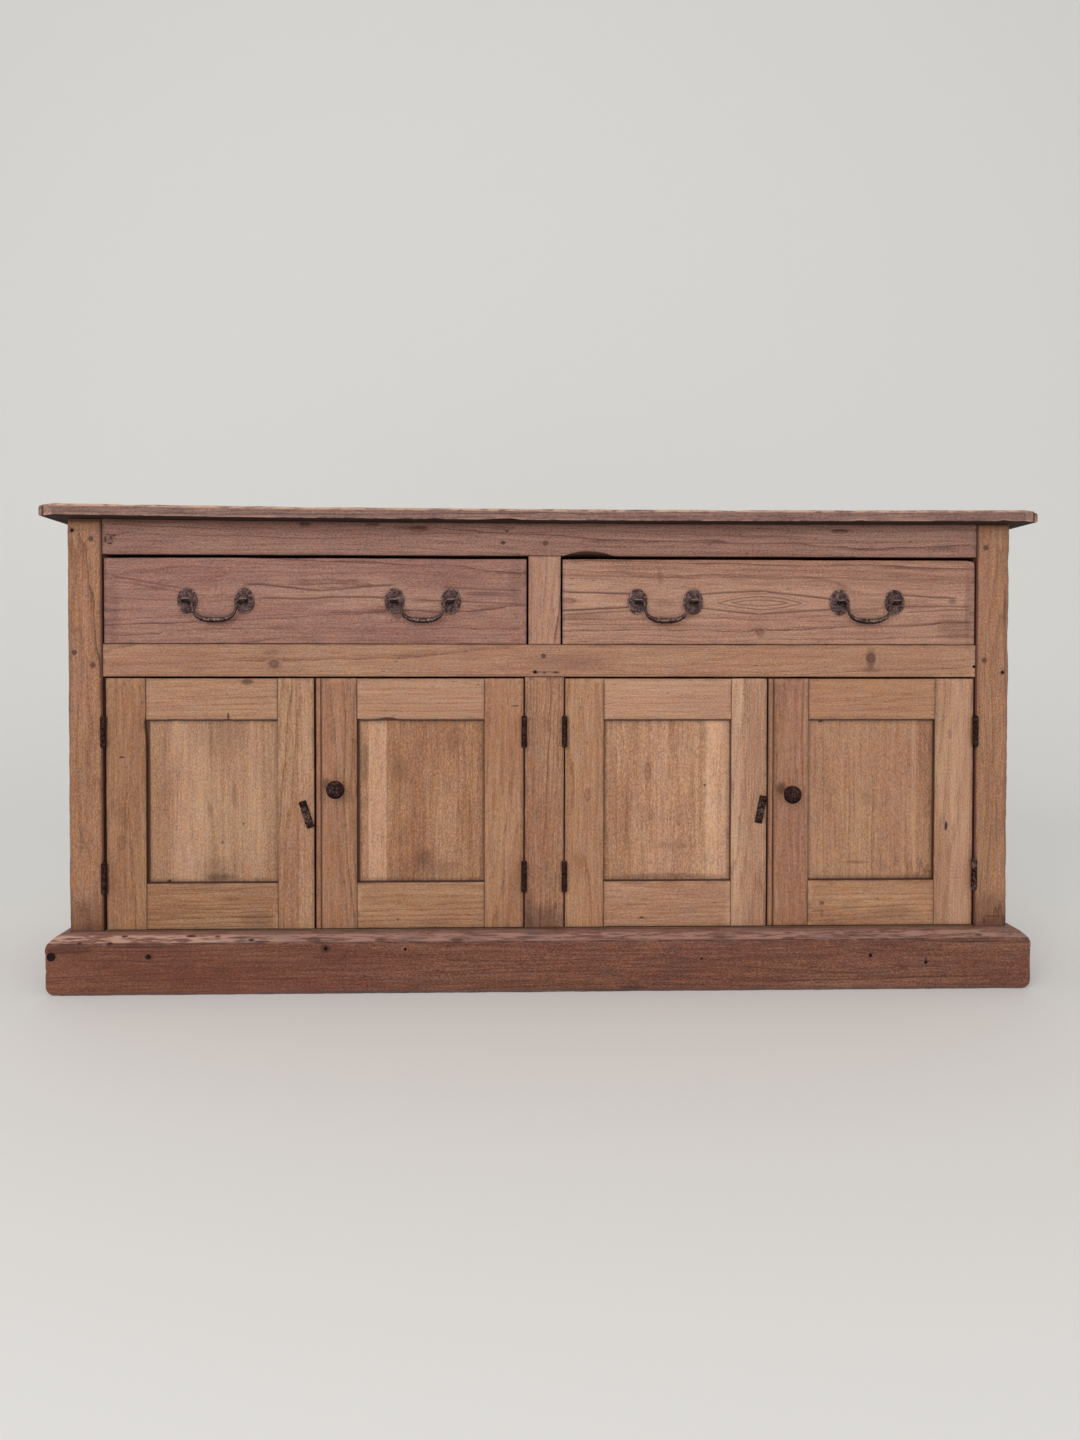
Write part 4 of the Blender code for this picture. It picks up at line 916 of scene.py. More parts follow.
plinth = {
    "chamferHeight": 0.0148,
    "chamferDepth": 0.024,
    "topCorner": 0.0285,
    "footCorner": 0.018,
    "arris": 0.0022,
    "tone": {"dark": (84, 50, 38), "middle": (116, 76, 61), "light": (146, 105, 88), "dirt": (50, 29, 25)},
    # the chamfer's nicks and dark spots
    "marks": inMetres(
        (-767, 103.2, 6.6, 1.6, 0.9), (-646, 103.2, 11, 1.7, 0.9), (-598, 102.5, 5, 1.4, 0.8),
        (-535, 97.6, 6.6, 2.2, 0.9), (-514, 95.9, 17.6, 1.4, 0.8), (-843, 94.9, 5.5, 2.2, 0.9),
        (-789, 93.4, 6.6, 3.2, 1.0), (-704, 99.3, 22, 1.2, 0.5), (-564, 100.4, 17.6, 1.2, 0.5),
        (-422, 97.6, 15.4, 4, 0.6), (-301, 96.2, 11, 3, 0.6), (-161, 96.2, 13.2, 3, 0.6),
        (81, 99.7, 33, 1.6, 0.5), (332, 97.6, 28.6, 1.6, 0.5), (583, 99, 33, 1.6, 0.5),
        (451, 95.1, 13.2, 3, 0.6), (810, 98.3, 6.6, 1.6, 0.7), (-111, 101.8, 28.6, 1.4, 0.5)
    ),
    "figures": inMetres(
        (-398.9, 83.1, 6, 6, 1.5, 1.0), (-385, 70, 30, 16, 4.0, 0.45), (262, 45, 50, 12, 4.0, 0.25),
        (440, 55, 100, 14, 5.0, 0.0), (-820, 60, 50, 12, 3.0, 0.3), (665, 47, 12, 8, 2.0, 0.4),
        (780, 50, 30, 7, 2.0, 0.35)
    ),
    "stains": inMetres(
        (-860, 85, 60, 12, 0.6), (-700, 88.5, 100, 4, 0.55), (160, 7, 30, 6, 0.55),
        (-620, 50, 300, 60, 0.18), (-718.6, 70.2, 12, 8, 0.6), (-398.9, 83.1, 12, 9, 0.7),
        (780, 88.5, 100, 1.8, 0.7), (-410, 100, 50, 10, 0.4), (0, 100, 50, 8, 0.3), (707, 52, 4, 9, 0.9),
        (-328, 32, 4, 3, 0.9), (-195, 41.4, 4, 3, 0.8)
    ),
    "lines": inMetres(
        (-785, 87.8, -685, 88.4, 1, 2.6, 0.95), (-800, 93.5, -560, 92.5, 3, 2.2, 0.95),
        (-535, 97.8, -495, 97.2, 1, 2, 0.95), (760, 86.8, 850, 87.2, 1, 1.8, 0.95),
        (-850, 66, -700, 60, 8, 4, 0.68), (-600, 60, -200, 52, 10, 3.6, 0.51),
        (280, 50, 600, 30, 8, 4, 0.59), (300, 60, 560, 66, 10, 3.6, 0.51), (640, 44, 760, 40, 6, 4, 0.77),
        (-200, 36, 160, 40, 10, 3.6, 0.42), lengths=6
    ),
    "dents": (                  # place, reach and push back
        (-0.42, 0.0905, (0.018, 0.006, 0.004), 0.0022), (-0.30, 0.0905, (0.010, 0.006, 0.003), 0.0016),
        (-0.16, 0.0905, (0.012, 0.006, 0.003), 0.0018), (0.45, 0.0905, (0.012, 0.006, 0.003), 0.0014),
        (0.798, 0.0892, (0.022, 0.005, 0.0014), 0.0018), (0.17, 0.001, (0.03, 0.006, 0.003), 0.0015),
    ),
}


def makePlinthFront():
    low, high = boxOf["plinth_front"]
    drop, depth = plinth["chamferHeight"], plinth["chamferDepth"]
    topCorner, footCorner = plinth["topCorner"], plinth["footCorner"]

    def cornersAt(x):
        gap = max(min(high.x - x, x - low.x), 0.0)
        top = high.z - fallAt(topCorner, gap)
        foot = low.z + fallAt(footCorner, gap)
        shoulder = min(top, high.z - drop)
        back = low.y + depth * max(top - (high.z - drop), 0) / drop
        arris = plinth["arris"]
        return [(low.y, foot, arris), (high.y, foot, 0.0008), (high.y, top, 0.0008),
                (back, max(top, shoulder + 0.00002), arris * 0.8), (low.y, shoulder, arris * 0.9)]

    places = []
    for share in (0.02, 0.06, 0.13, 0.24, 0.38, 0.54, 0.72, 0.9, 1.0, 1.2):
        places += [low.x + topCorner * share, high.x - topCorner * share]
    dents = [((x, low.y, z), reach, (0, back, 0)) for x, z, reach, back in plinth["dents"]]
    dents += [
        ((-0.8945, low.y, 0.0426), (0.012, 0.010, 0.0022), (0.0015, 0.0030, 0)),
        ((-0.7888, low.y + 0.004, 0.0928), (0.0045, 0.006, 0.003), (0, 0.0025, 0)),
        ((0.899, low.y, 0.05), (0.004, 0.006, 0.012), (-0.0012, 0.0010, 0)),
    ]
    piece = sweepBoard("plinth_board", "x", low.x, high.x, cornersAt, dents=dents, seed=71, stations=places,
                       endRound=0.0022, step=0.009, wear=0.6, wave=0.00035, sideStep=0.010)
    marks = {key: plinth[key] for key in ("figures", "stains", "lines")}
    material = makePine("plinthPine", low, high, seed=23.0, rings=0.42, bands=0.35, mottle=0.4, fibre=0.55,
                        grit=1.0, streak=0.48, specks=0.5, rub=0.75, rough=0.52, grimeWidth=0.010,
                        grime=(0.35, 0.25, 0.35, 0.2), **marks, **plinth["tone"])
    paintChamfer(material, high.z, plinth["marks"])
    finishPiece(piece, "root", material, "plinth_pine", "plinth_front")


def paintChamfer(material, top, marks=()):
    # the sloping top is rubbed pale and grey, most of all along its lower edge, where a painted highlight
    # adds to the wear; its upper part is less pale, a painted shadow of the doors
    finish, base = reopen(material)
    where, across, height = finish.place("xz")
    blots = finish.noise(where, (24.0, 90.0, 290.0), 3.0, 0.7)
    streaks = finish.noise(where, (30.0, 200.0, 430.0), 2.0)
    edge = top - plinth["chamferHeight"]
    ruddy = finish.spread(across, -0.15, -0.65, 0.0, 0.22)
    colour = finish.blend(ruddy, base, paint(118, 50, 30))
    slope = finish.spread(height, edge - 0.0012, edge + 0.0008)
    pale = slope * finish.spread(blots + (streaks - 0.5) * 1.2, 0.26, 0.76, 0.28, 0.84)
    pale = pale * finish.spread(across, -0.3, 0.5, 1.0, 0.84)
    # painted shadow of the doors: less pale towards the top of the slope
    pale = pale * finish.spread(height, top, edge + 0.006, 0.72, 1.08)
    colour = finish.blend(pale, colour, paint(152, 115, 105))
    # the pale band along the lower edge: worn wood with a painted highlight
    worn = finish.spread(height, edge + 0.0008, edge + 0.0022)
    worn = worn * finish.spread(height, edge + 0.0120, edge + 0.0095)
    worn = worn * finish.spread(blots + (streaks - 0.5) * 0.6, 0.40, 0.55)
    worn = worn * finish.spread(across, -0.44, -0.56, 0.45, 1.0)
    colour = finish.blend(worn, colour, paint(196, 154, 136))
    seam = finish.spread(height, edge - 0.0022, edge - 0.0008) * finish.spread(height, edge + 0.0014, edge)
    seam = seam * finish.spread(blots + (streaks - 0.5) * 0.5, 0.38, 0.52) * 0.92
    colour = finish.blend(seam, colour, paint(62, 34, 28))
    grey = slope * finish.spread(finish.noise(where, (9.0, 20.0, 20.0), 2.0), 0.52, 0.66) * 0.35
    colour = finish.blend(grey, colour, paint(112, 92, 88))
    foot = finish.spread(height + (blots - 0.5) * 0.012, 0.009, 0.0, 0.0, 0.6)
    colour = finish.blend(foot, colour, paint(96, 78, 76))
    for spot in marks:
        blot = finish.spread(bellAt(across, height, spot) + (blots - 0.5) * 0.8, 0.25, 0.75) * spot[4]
        colour = finish.blend(blot, colour, paint(62, 34, 28))
    finish.set(Base_Color=colour)


def makePlinthReturns():
    for side, label in ((-1, "left"), (1, "right")):
        node = "plinth_" + label
        low, high = boxOf[node]
        inner, outer = (high.x, low.x) if side < 0 else (low.x, high.x)
        top, foot = plinth["topCorner"], plinth["footCorner"]
        outline = [(inner, high.z, 0.0008), (inner, low.z, 0.0008)]
        for corner, height, begin in ((foot, low.z + foot, -90), (top, high.z - top, 0)):
            for step in range(7):
                turn = math.radians(begin + 90 * step / 6)
                inset, rise = corner * (1 - math.cos(turn)), corner * math.sin(turn)
                outline.append((outer - side * inset, height + rise, 0.0))
        piece = sweepBoard("plinth_return_" + label, "y", low.y, high.y, lambda y, outline=outline: outline,
                           seed=73 + side, wear=0.5, wave=0.0003)
        material = makePine("plinthReturnPine" + label.title(), low, high, axes="yzx", seed=27.0 + side,
                            rub=0.6, rings=0.28, grit=0.6, grime=(0.3, 0.3, 0.35, 0.2), **plinth["tone"])
        paintChamfer(material, high.z)
        finishPiece(piece, "root", material, "plinth_pine", node)


makePlinthFront()
makePlinthReturns()
print("plinth made")


# Doors: two stiles and two rails round a panel

door = {
    "hingeStile": 0.0725,
    "meetingStile": 0.0665,
    "beadedStile": 0.0765,
    "topRail": 0.0765,
    "footRail": 0.0850,
    "railSet": 0.0005,
    "shoulderGap": 0.0005,
    "arris": 0.0011,
    "beadRadius": 0.0055,
    "quirk": 0.0014,
    "quirkDepth": 0.0013,
    "chips": {      # where a board is splintered beside the panel: place along it, reach and push
        (1, "hinge"): ((0.488, (0.004, 0.005, 0.012), (-0.0036, 0.003, 0)),
                       (0.470, (0.003, 0.004, 0.006), (-0.0022, 0.002, 0))),
        (1, "top"): ((-0.583, (0.002, 0.006, 0.006), (0, 0.0020, 0.002)),
                     (-0.68, (0.006, 0.006, 0.003), (0, 0.0010, 0.0012))),
        (2, "top"): ((-0.299, (0.010, 0.006, 0.003), (0, 0.0012, 0.0026)),
                     (-0.280, (0.008, 0.006, 0.003), (0, 0.0012, 0.0020)),
                     (-0.345, (0.006, 0.006, 0.002), (0, 0.001, 0.0014))),
    },
}
doorLook = {
    1: {
        "hinge": {
            "figures": inMetres((270, -780, 12, 6, 2.0, 0.35)),
            "stains": inMetres((429.6, -776, 2.4, 8, 1.0), (480, -730, 12, 2.6, 1.0)),
            "dark": (124, 85, 60), "middle": (148, 108, 81), "light": (170, 131, 104),
            "grime": (0.2, 0.25, 0.55, 0.3),
        },
        "meeting": {
            "dark": (128, 90, 66), "middle": (158, 118, 92), "light": (184, 146, 120),
            "strips": ((-0.4545, -0.4, 0.1, 0.003),), "grime": (0.1, 0.25, 0.15, 0.45),
        },
        "top": {
            "figures": inMetres((-548, 567.7, 10, 6, 4.0, 0.5)), "dark": (140, 101, 78),
            "middle": (166, 126, 101), "light": (184, 145, 119),
            "stains": inMetres((-582.9, 505, 2.4, 7.5, 1.0), (-548, 569, 14, 6, 0.6)),
        },
        "foot": {
            "dark": (124, 84, 58), "middle": (151, 111, 83), "light": (176, 138, 112),
            "stains": inMetres((-530, 128, 40, 20, 0.3), (-620, 185, 120, 6, 0.2)),
        },
        "panel": {
            "dark": (138, 98, 74), "middle": (164, 126, 100), "light": (188, 150, 124),
            "strips": ((-0.69, -0.625, 0.18, 0.01), (-0.55, -0.525, 0.1, 0.006)),
            "stains": inMetres(
                (470, -600, 50, 60, 0.16), (220, -610, 30, 50, 0.22), (198.5, -694, 3.5, 5, 1.0),
                (206, -600, 8, 35, 0.5), (270, -597, 5, 4, 0.7), (304, -558, 4, 3, 0.8),
                (360, -575, 30, 6, 0.3), (330, -620, 20, 6, 0.3)
            ),
        },
    },
    2: {
        "hinge": {
            "dark": (134, 94, 69), "middle": (159, 117, 90), "light": (178, 137, 111),
            "stains": inMetres((523.9, -55, 1.6, 10, 0.8)), "grime": (0.3, 0.25, 0.2, 0.5),
        },
        "meeting": {
            "dark": (128, 88, 66), "middle": (154, 112, 88), "light": (176, 134, 109),
            # the stain round the knob is a painted shadow of the knob
            "grime": (0.15, 0.25, 0.4, 0.35), "stains": inMetres((379, -403, 13, 10, 0.6)),
        },
        "top": {
            "dark": (146, 106, 82), "middle": (169, 129, 104), "light": (186, 148, 124),
            "stains": inMetres((-289, 501.5, 16, 2.2, 0.9)),
        },
        "foot": {
            "dark": (134, 94, 68), "middle": (160, 120, 92), "light": (180, 141, 113),
            "stains": inMetres((-271.8, 126.2, 4, 3, 0.8), (-200, 122, 50, 8, 0.25)),
        },
        "panel": {
            "dark": (132, 92, 66), "middle": (160, 119, 91), "light": (186, 147, 121),
            "strips": ((-0.326, -0.2935, 0.34, 0.0015), (-0.347, -0.326, 0.05, 0.003)),
            "stains": inMetres(
                (240, -223.5, 20, 20, 0.45), (405, -268, 25, 20, 0.25), (220, -200, 20, 60, 0.25),
                (420, -335, 50, 10, 0.4), (460, -170, 30, 20, 0.25)
            ),
        },
    },
    3: {
        "hinge": {
            "figures": inMetres((358, 80, 14, 6, 2.0, 0.5), (455, 78, 4, 4, 0.5, 0.5)),
            "dark": (138, 98, 72), "middle": (163, 121, 94), "light": (184, 144, 116),
        },
        "meeting": {
            "dark": (138, 100, 76), "middle": (166, 127, 103), "light": (194, 156, 131),
            "strips": ((0.345, 0.372, 0.16, 0.004),), "slope": 0.015, "pithAcross": 0.02,
            "grime": (0.15, 0.25, 0.15, 0.5),
        },
        "top": {
            "figures": inMetres((140, 508, 16, 12, 5.0, 0.0)), "dark": (152, 111, 87), "rings": 0.6,
            "middle": (179, 139, 114), "light": (196, 158, 134),
            "stains": inMetres((230.5, 548.3, 2, 1.8, 0.9)),
        },
        "foot": {
            "dark": (142, 102, 80), "middle": (167, 127, 102), "light": (186, 148, 122),
            "stains": inMetres((183, 127.5, 5, 3, 0.8)),
        },
        "panel": {
            "dark": (142, 101, 75), "middle": (170, 129, 102), "light": (198, 159, 132),
            "strips": ((0.305, 0.352, 0.28, 0.005), (0.2, 0.235, 0.14, 0.008)),
            "figures": inMetres((400, 194, 20, 7, 2.5, 0.42), (315, 199, 8, 5, 1.5, 0.35)),
            "stains": inMetres(
                (374.6, 302.3, 3, 3, 0.9), (262, 245, 10, 50, 0.2), (204, 230, 6, 120, 0.35)
            ),
        },
    },
    4: {
        "hinge": {
            "figures": inMetres((470, 763, 10, 3.5, 1.5, 0.45), (298.4, 757.2, 8, 2.2, 0.6, 0.95)),
            "dark": (136, 98, 74), "middle": (165, 126, 100), "light": (190, 151, 125),
            "strips": ((0.765, 0.8, 0.16, 0.004),), "grime": (0.35, 0.25, 0.2, 0.6),
            "stains": inMetres((298.5, 757.2, 11, 3.4, 1.0)),
        },
        "meeting": {
            "dark": (128, 88, 68), "middle": (155, 114, 91), "light": (177, 135, 111),
            # the stain round the knob is a painted shadow of the knob
            "grime": (0.45, 0.35, 0.45, 0.3), "stains": inMetres((370, 444, 14, 10, 0.6)),
        },
        "top": {"dark": (140, 99, 74), "middle": (167, 125, 98), "light": (182, 142, 114)},
        "foot": {
            "dark": (132, 91, 66), "middle": (158, 117, 90), "light": (177, 136, 108), "bands": 0.8,
            "strips": ((0.15, 0.19, 0.1, 0.012),),
            "stains": inMetres(
                (522.4, 153, 6, 5, 0.7), (522.4, 135, 4, 12, 0.35), (660, 135, 50, 20, 0.22)
            ),
        },
        "panel": {
            "dark": (142, 103, 78), "middle": (169, 129, 102), "light": (188, 149, 120), "rings": 0.5,
            "slope": -0.03, "pithAcross": 0.09,
            "strips": ((0.695, 0.703, 0.16, 0.002), (0.703, 0.73, -0.08, 0.002)),
            "stains": inMetres(
                (494.3, 520.3, 3, 6, 0.9), (348, 612, 20, 15, 0.22), (228, 590, 4, 30, 0.35)
            ),
        },
    },
}


def doorSides(number):
    # which way the hinges lie, and the door's edges on that side and on the meeting side
    low, high = boxOf["door_%d_frame" % number]
    side = -1 if number in (1, 3) else 1
    return (side, low.x, high.x) if side < 0 else (side, high.x, low.x)


def doorPine(number, part, low, high, **changes):
    look = dict({"sides": 0.8, "ringWidth": 0.0055, "grimeDepth": 0.018}, **changes)
    look.update(doorLook[number][part])
    return makePine("door%d%sPine" % (number, part.title()), low, high, **look)


def makeDoor(number):
    body = "door_%d" % number
    node = "door_%d_frame" % number
    low, high = boxOf[node]
    side, hingeEdge, meetingEdge = doorSides(number)
    beaded = number in (2, 4)
    meetingWidth = door["beadedStile"] if beaded else door["meetingStile"]
    hingeInner = hingeEdge - side * door["hingeStile"]
    meetingInner = meetingEdge + side * meetingWidth
    arris, gap, chips = door["arris"], door["shoulderGap"], door["chips"]

    def stileBox(first, second):
        near, far = sorted((first, second))
        return Vector((near, low.y, low.z)), Vector((far, high.y, high.z))

    ends = stileBox(hingeEdge, hingeInner)
    material = doorPine(number, "hinge", *ends, axes="zxy", seed=31.0 + number * 2.7, pithDepth=0.25,
                        pithAcross=0.05 * side, grime=(0.2, 0.25, 0.4, 0.4), rub=0.4)
    dents = [((hingeInner, low.y, z), reach, push) for z, reach, push in chips.get((number, "hinge"), ())]
    plainBoard("door_%d_hinge_stile" % number, node, "z", (arris * 1.2, arris, 0.0006, 0.0006), material,
               "door_pine", body, *ends, seed=100 + number, dents=dents)

    ends = stileBox(meetingEdge, meetingInner)
    material = doorPine(number, "meeting", *ends, axes="zxy", seed=47.0 + number * 1.9, pithDepth=0.16,
                        pithAcross=-0.03 * side, grime=(0.25, 0.25, 0.4, 0.4), rub=0.4)
    name = "door_%d_meeting_stile" % number
    if beaded:
        corners = beadCorners(meetingEdge, side, meetingWidth, low.y, high.y)
        piece = sweepBoard(name, "z", low.z, high.z, lambda z: corners, seed=110 + number, wear=0.3)
        shadeQuirk(material, meetingEdge + side * (2 * door["beadRadius"] + door["quirk"] / 2))
        finishPiece(piece, body, material, "door_pine", node)
    else:
        plainBoard(name, node, "z", (arris, arris, 0.0006, 0.0006), material, "door_pine", body, *ends,
                   seed=110 + number)

    left, right = sorted((hingeInner, meetingInner))
    # the foot rail's arris is paler than the top rail's: wear and a painted highlight
    rails = {
        "top": (high.z - door["topRail"], high.z - 0.0004, (0.0012, 0.0006, 0.0006, 0.0010), 0.3),
        "foot": (low.z + 0.0004, low.z + door["footRail"], (0.0010, 0.0006, 0.0006, 0.0016), 0.6),
    }
    for part, (foot, head, radii, rub) in rails.items():
        ends = (Vector((left + gap, low.y + door["railSet"], foot)),
                Vector((right - gap, high.y - 0.0004, head)))
        material = doorPine(number, part, *ends, seed=61.0 + number * 3.1 + foot, pithDepth=0.14,
                            grime=(0.3, 0.3, 0.35, 0.3), rub=rub)
        dents = [((x, low.y, foot), reach, push) for x, reach, push in chips.get((number, part), ())]
        plainBoard("door_%d_%s_rail" % (number, part), node, "x", radii, material, "door_pine", body, *ends,
                   seed=120 + number, dents=dents, endRound=0.0006)

    panel = nodes["door_%d_panel" % number]
    ends = (Vector((left, low.y, rails["foot"][1])), Vector((right, high.y, rails["top"][0])))
    wall = (0.0075, 0.0030) if number < 3 else (0.0030, 0.0035)     # the darker side of the recess, with dirt and painted shade, is wider
    material = doorPine(number, "panel", *ends, axes="zxy", seed=83.0 + number * 4.3, pithDepth=0.12,
                        grime=(0.55, 0.5, 0.55, 0.45), grimeWidth=0.012, joint=(0.0035, 0.0050, *wall),
                        mottle=0.40, specks=0.35, streak=0.55, rings=0.16, fibre=0.40, bands=0.55, grit=1.0,
                        sides=0.0)
    panel.data.materials.clear()
    panel.data.materials.append(material)


def beadCorners(edge, side, width, front, back):
    # plan of a stile with a half round bead and a quirk along its meeting edge
    radius, quirk, sink = door["beadRadius"], door["quirk"], door["quirkDepth"]
    points = [(0.0, back, 0.0006), (0.0, front + radius, 0.0)]
    for step in range(1, 9):
        turn = math.radians(180 + 180 * step / 9)
        points.append((radius + radius * math.cos(turn), front + radius + radius * math.sin(turn), 0.0))
    points += [(2 * radius, front + sink, 0.0), (2 * radius + quirk, front + sink, 0.0)]
    points += [(2 * radius + quirk, front, 0.0007), (width, front, door["arris"]), (width, back, 0.0006)]
    return [(edge + side * along, depth, radii) for along, depth, radii in points]


def shadeQuirk(material, line):
    # painted shade in the quirk beside the bead
    finish, base = reopen(material)
    away = (finish.place("x")[1] - line).maths("ABSOLUTE")
    dirt = finish.spread(away, 0.0005, 0.0030, 0.45, 0.0)
    finish.set(Base_Color=finish.blend(dirt, base, paint(78, 46, 37)))


for number in doorNumbers:
    makeDoor(number)
print("doors made")


# Drawers

drawerLook = {
    "left": {
        "figures": inMetres((-687.8, 660, 10, 5, 1.5, 0.25)),
        "strips": ((0.752, 0.81, -0.06, 0.01), (0.63, 0.678, -0.06, 0.01), (0.7, 0.745, 0.03, 0.01)),
        "lines": inMetres(
            (-560, 748, -400, 736, 10, 5.1, 0.86), (-420, 735.5, -270, 747, 8, 5.1, 0.86),
            (-540, 721.5, -270, 723.5, 12, 4.5, 0.8), (-200, 744, -35, 736, 8, 4.2, 0.69),
            (-240, 720, -35, 712, 8, 3.9, 0.63), (-800, 764, -660, 737, 10, 4.5, 0.63),
            (-800, 756, -660, 730, 10, 3.6, 0.46), (-800, 722, -640, 716, 10, 3.9, 0.46),
            (-620, 772, -100, 764, 12, 3.6, 0.34), (-700, 690, -200, 696, 12, 3.6, 0.29),
            (-500, 700, -60, 688, 14, 3.3, 0.29), (-150, 730, -40, 726, 8, 3.3, 0.57), lengths=6
        ),
        "stains": inMetres(
            (-795, 700, 20, 90, 0.3), (-48, 745, 26, 60, 0.28), (-710, 741, 22, 6, 0.3),
            (-100, 732.5, 60, 4.5, 0.5), (-235, 717, 25, 6, 0.3), (-270, 690, 12, 8, 0.5)
        ),
        "dark": (122, 83, 73), "middle": (150, 111, 98), "light": (176, 136, 120),
        "grime": (0.6, 0.6, 0.15, 0.15), "seed": 91.0, "slope": 0.006, "pithDepth": 0.09,
        "pithAcross": 0.02, "rings": 0.42,
    },
    "right": {
        "figures": inMetres((402.6, 662.3, 8.5, 7.5, 3.0, 0.75), (45, 719.5, 16, 6, 2.0, 0.7)),
        "eyes": inMetres((402, 716, 100, 18.5, 3.0, 0.7)),
        "strips": ((0.752, 0.81, -0.09, 0.01), (0.695, 0.738, 0.08, 0.01)),
        "lines": inMetres(
            (20, 736, 170, 732, 6, 4.8, 0.86), (280, 731, 420, 738.5, 4, 4.5, 0.86),
            (400, 738.5, 560, 720, 4, 4.5, 0.86), (20, 701, 170, 708, 6, 5.1, 0.92),
            (20, 693, 170, 701, 6, 3.9, 0.63), (270, 708, 410, 693, 4, 4.5, 0.8),
            (390, 693, 560, 706, 4, 4.5, 0.8), (660, 733, 780, 723, 6, 4.5, 0.8),
            (660, 711, 806, 708, 6, 4.2, 0.75), (670, 700, 806, 703, 8, 3.9, 0.63),
            (20, 766, 300, 761, 10, 3.9, 0.46), (300, 764, 806, 758, 12, 3.6, 0.4),
            (20, 676, 360, 672, 8, 3.6, 0.34), (430, 670, 806, 678, 10, 3.6, 0.34), lengths=6
        ),
        "stains": inMetres(
            (770, 670, 40, 30, 0.35), (797, 700, 10, 90, 0.35), (70, 689, 60, 6, 0.35),
            (765, 720, 10, 6, 0.55), (402.6, 665.5, 26, 3.5, 0.4), (215, 765, 6, 20, 0.3),
            (225, 715, 25, 10, 0.3)
        ),
        "dark": (134, 95, 80), "middle": (163, 123, 105), "light": (188, 149, 128),
        "grime": (0.5, 0.6, 0.15, 0.15), "seed": 97.0, "slope": 0.004, "pithDepth": 0.085,
        "pithAcross": 0.01, "rings": 0.42,
    },
}


def makeDrawer(label):
    body = "drawer_" + label
    node = "drawer_%s_front" % label
    low, high = boxOf[node]
    look = dict(drawerLook[label])
    for place in ("outer", "inner"):     # dark halos round the handles' plates
        for end in ("left", "right"):
            x, _, z = rearCentre("drawer_%s_%s_plate_%s" % (label, place, end))
            look["stains"] += ((x, z - 0.001, 0.0215, 0.0280, 0.75),)
    material = makePine("drawer%sPine" % label.title(), low, high, grimeWidth=0.009, grimeDepth=0.007,
                        sides=0.7, ringWidth=0.0065, **look)
    dents = ()
    if label == "right":
        dents = (((high.x, low.y, high.z), (0.008, 0.006, 0.006), (-0.0018, 0.001, -0.0022)),)
    plainBoard(body + "_face", node, "x", (0.0014, 0.0008, 0.0008, 0.0016), material, "drawer_pine", body,
               seed=131, dents=dents, wave=0.0003, step=0.012)
    for part in ("side_left", "side_right", "back", "bottom"):
        name = "%s_%s" % (body, part)
        low, high = boxOf[name]
        axes = {"side": "yzx", "back": "xzy", "bottom": "xyz"}[part.split("_")[0]]
        seed = 140.0 + len(part) + (3 if label == "left" else 0)
        material = makePine(name + "Pine", low, high, axes=axes, seed=seed, dark=(140, 106, 78),
                            middle=(170, 136, 104), light=(196, 164, 130), rough=0.7, pithDepth=0.15,
                            specks=0.4, grime=(0.25, 0.25, 0.3, 0.2))
        nodes[name].data.materials.clear()
        nodes[name].data.materials.append(material)


for label in ("left", "right"):
    makeDrawer(label)
print("drawers made")


# The carcass keeps its solids and takes its own boards' figure

def dressNode(name, slot, **look):
    low, high = boxOf[name]
    nodes[name].data.materials.clear()
    nodes[name].data.materials.append(makePine(name + "Pine", low, high, **look))


sideLook = {"axes": "zyx", "dark": (128, 90, 66), "middle": (154, 114, 88), "light": (178, 138, 110),
            "pithDepth": 0.10, "pithAcross": 0.02, "grime": (0.55, 0.4, 0.4, 0.3)}
insideLook = {"dark": (136, 102, 76), "middle": (166, 131, 100), "light": (192, 158, 126), "rough": 0.7,
              "grime": (0.3, 0.3, 0.3, 0.3), "specks": 0.4}
dressNode("side_board_left", "frame_pine", seed=151.0, **sideLook)
dressNode("side_board_right", "frame_pine", seed=157.0, **sideLook)
dressNode("cupboard_floor", "inside_pine", axes="xyz", seed=163.0, **insideLook)
dressNode("shelf", "inside_pine", axes="xyz", seed=167.0, **insideLook)
dressNode("back_boards", "inside_pine", axes="zxy", seed=173.0, bands=0.5, **insideLook)
for part in ("left", "centre", "right"):
    dressNode("drawer_runner_" + part, "inside_pine", axes="yzx", seed=179.0, **insideLook)
print("carcass dressed")


# Iron

blackIron = makeIron("blackIron")
plateIron = makeIron("plateIron", dark=(60, 42, 41), body=(100, 77, 74), rust=(118, 92, 88),
                     rubbed=(156, 128, 118))
rubbedIron = makeIron("rubbedIron", dark=(62, 44, 42), body=(98, 75, 71), rubbed=(164, 134, 122))


handle = {
    "plateWidth": 0.0365,
    "plateHeight": 0.0475,
    "plateSides": 48,
    "plateProfile": (       # share of the outline, height off the drawer
        (1.0, 0.0), (1.0, 0.0011), (0.972, 0.0019), (0.93, 0.0023), (0.88, 0.0022), (0.80, 0.0026),
        (0.5, 0.0031), (0.2, 0.0033),
    ),
    "lugRadius": 0.0046,
    "lugLength": 0.0140,
    "lugProfile": ((0.72, 0.0, 0.5), (0.95, 0.0006, 0.6), (1.0, 0.0016, 0.5)),  # share, from its end, wear and highlight
    "neck": ((0.0, 0.0062, 0.0040), (0.35, 0.0052, 0.0031), (1.0, 0.0050, 0.0028)),
    "rodSides": 20,
    "spacing": 0.104,
    "armInset": 0.0120,
    "drop": 0.0355,
    "elbow": 0.0048,
    "squareness": 0.75,
    "rod": 0.0026,
    "gripWide": 0.0042,
    "gripTall": 0.0048,
    "screwRise": 0.0163,
}


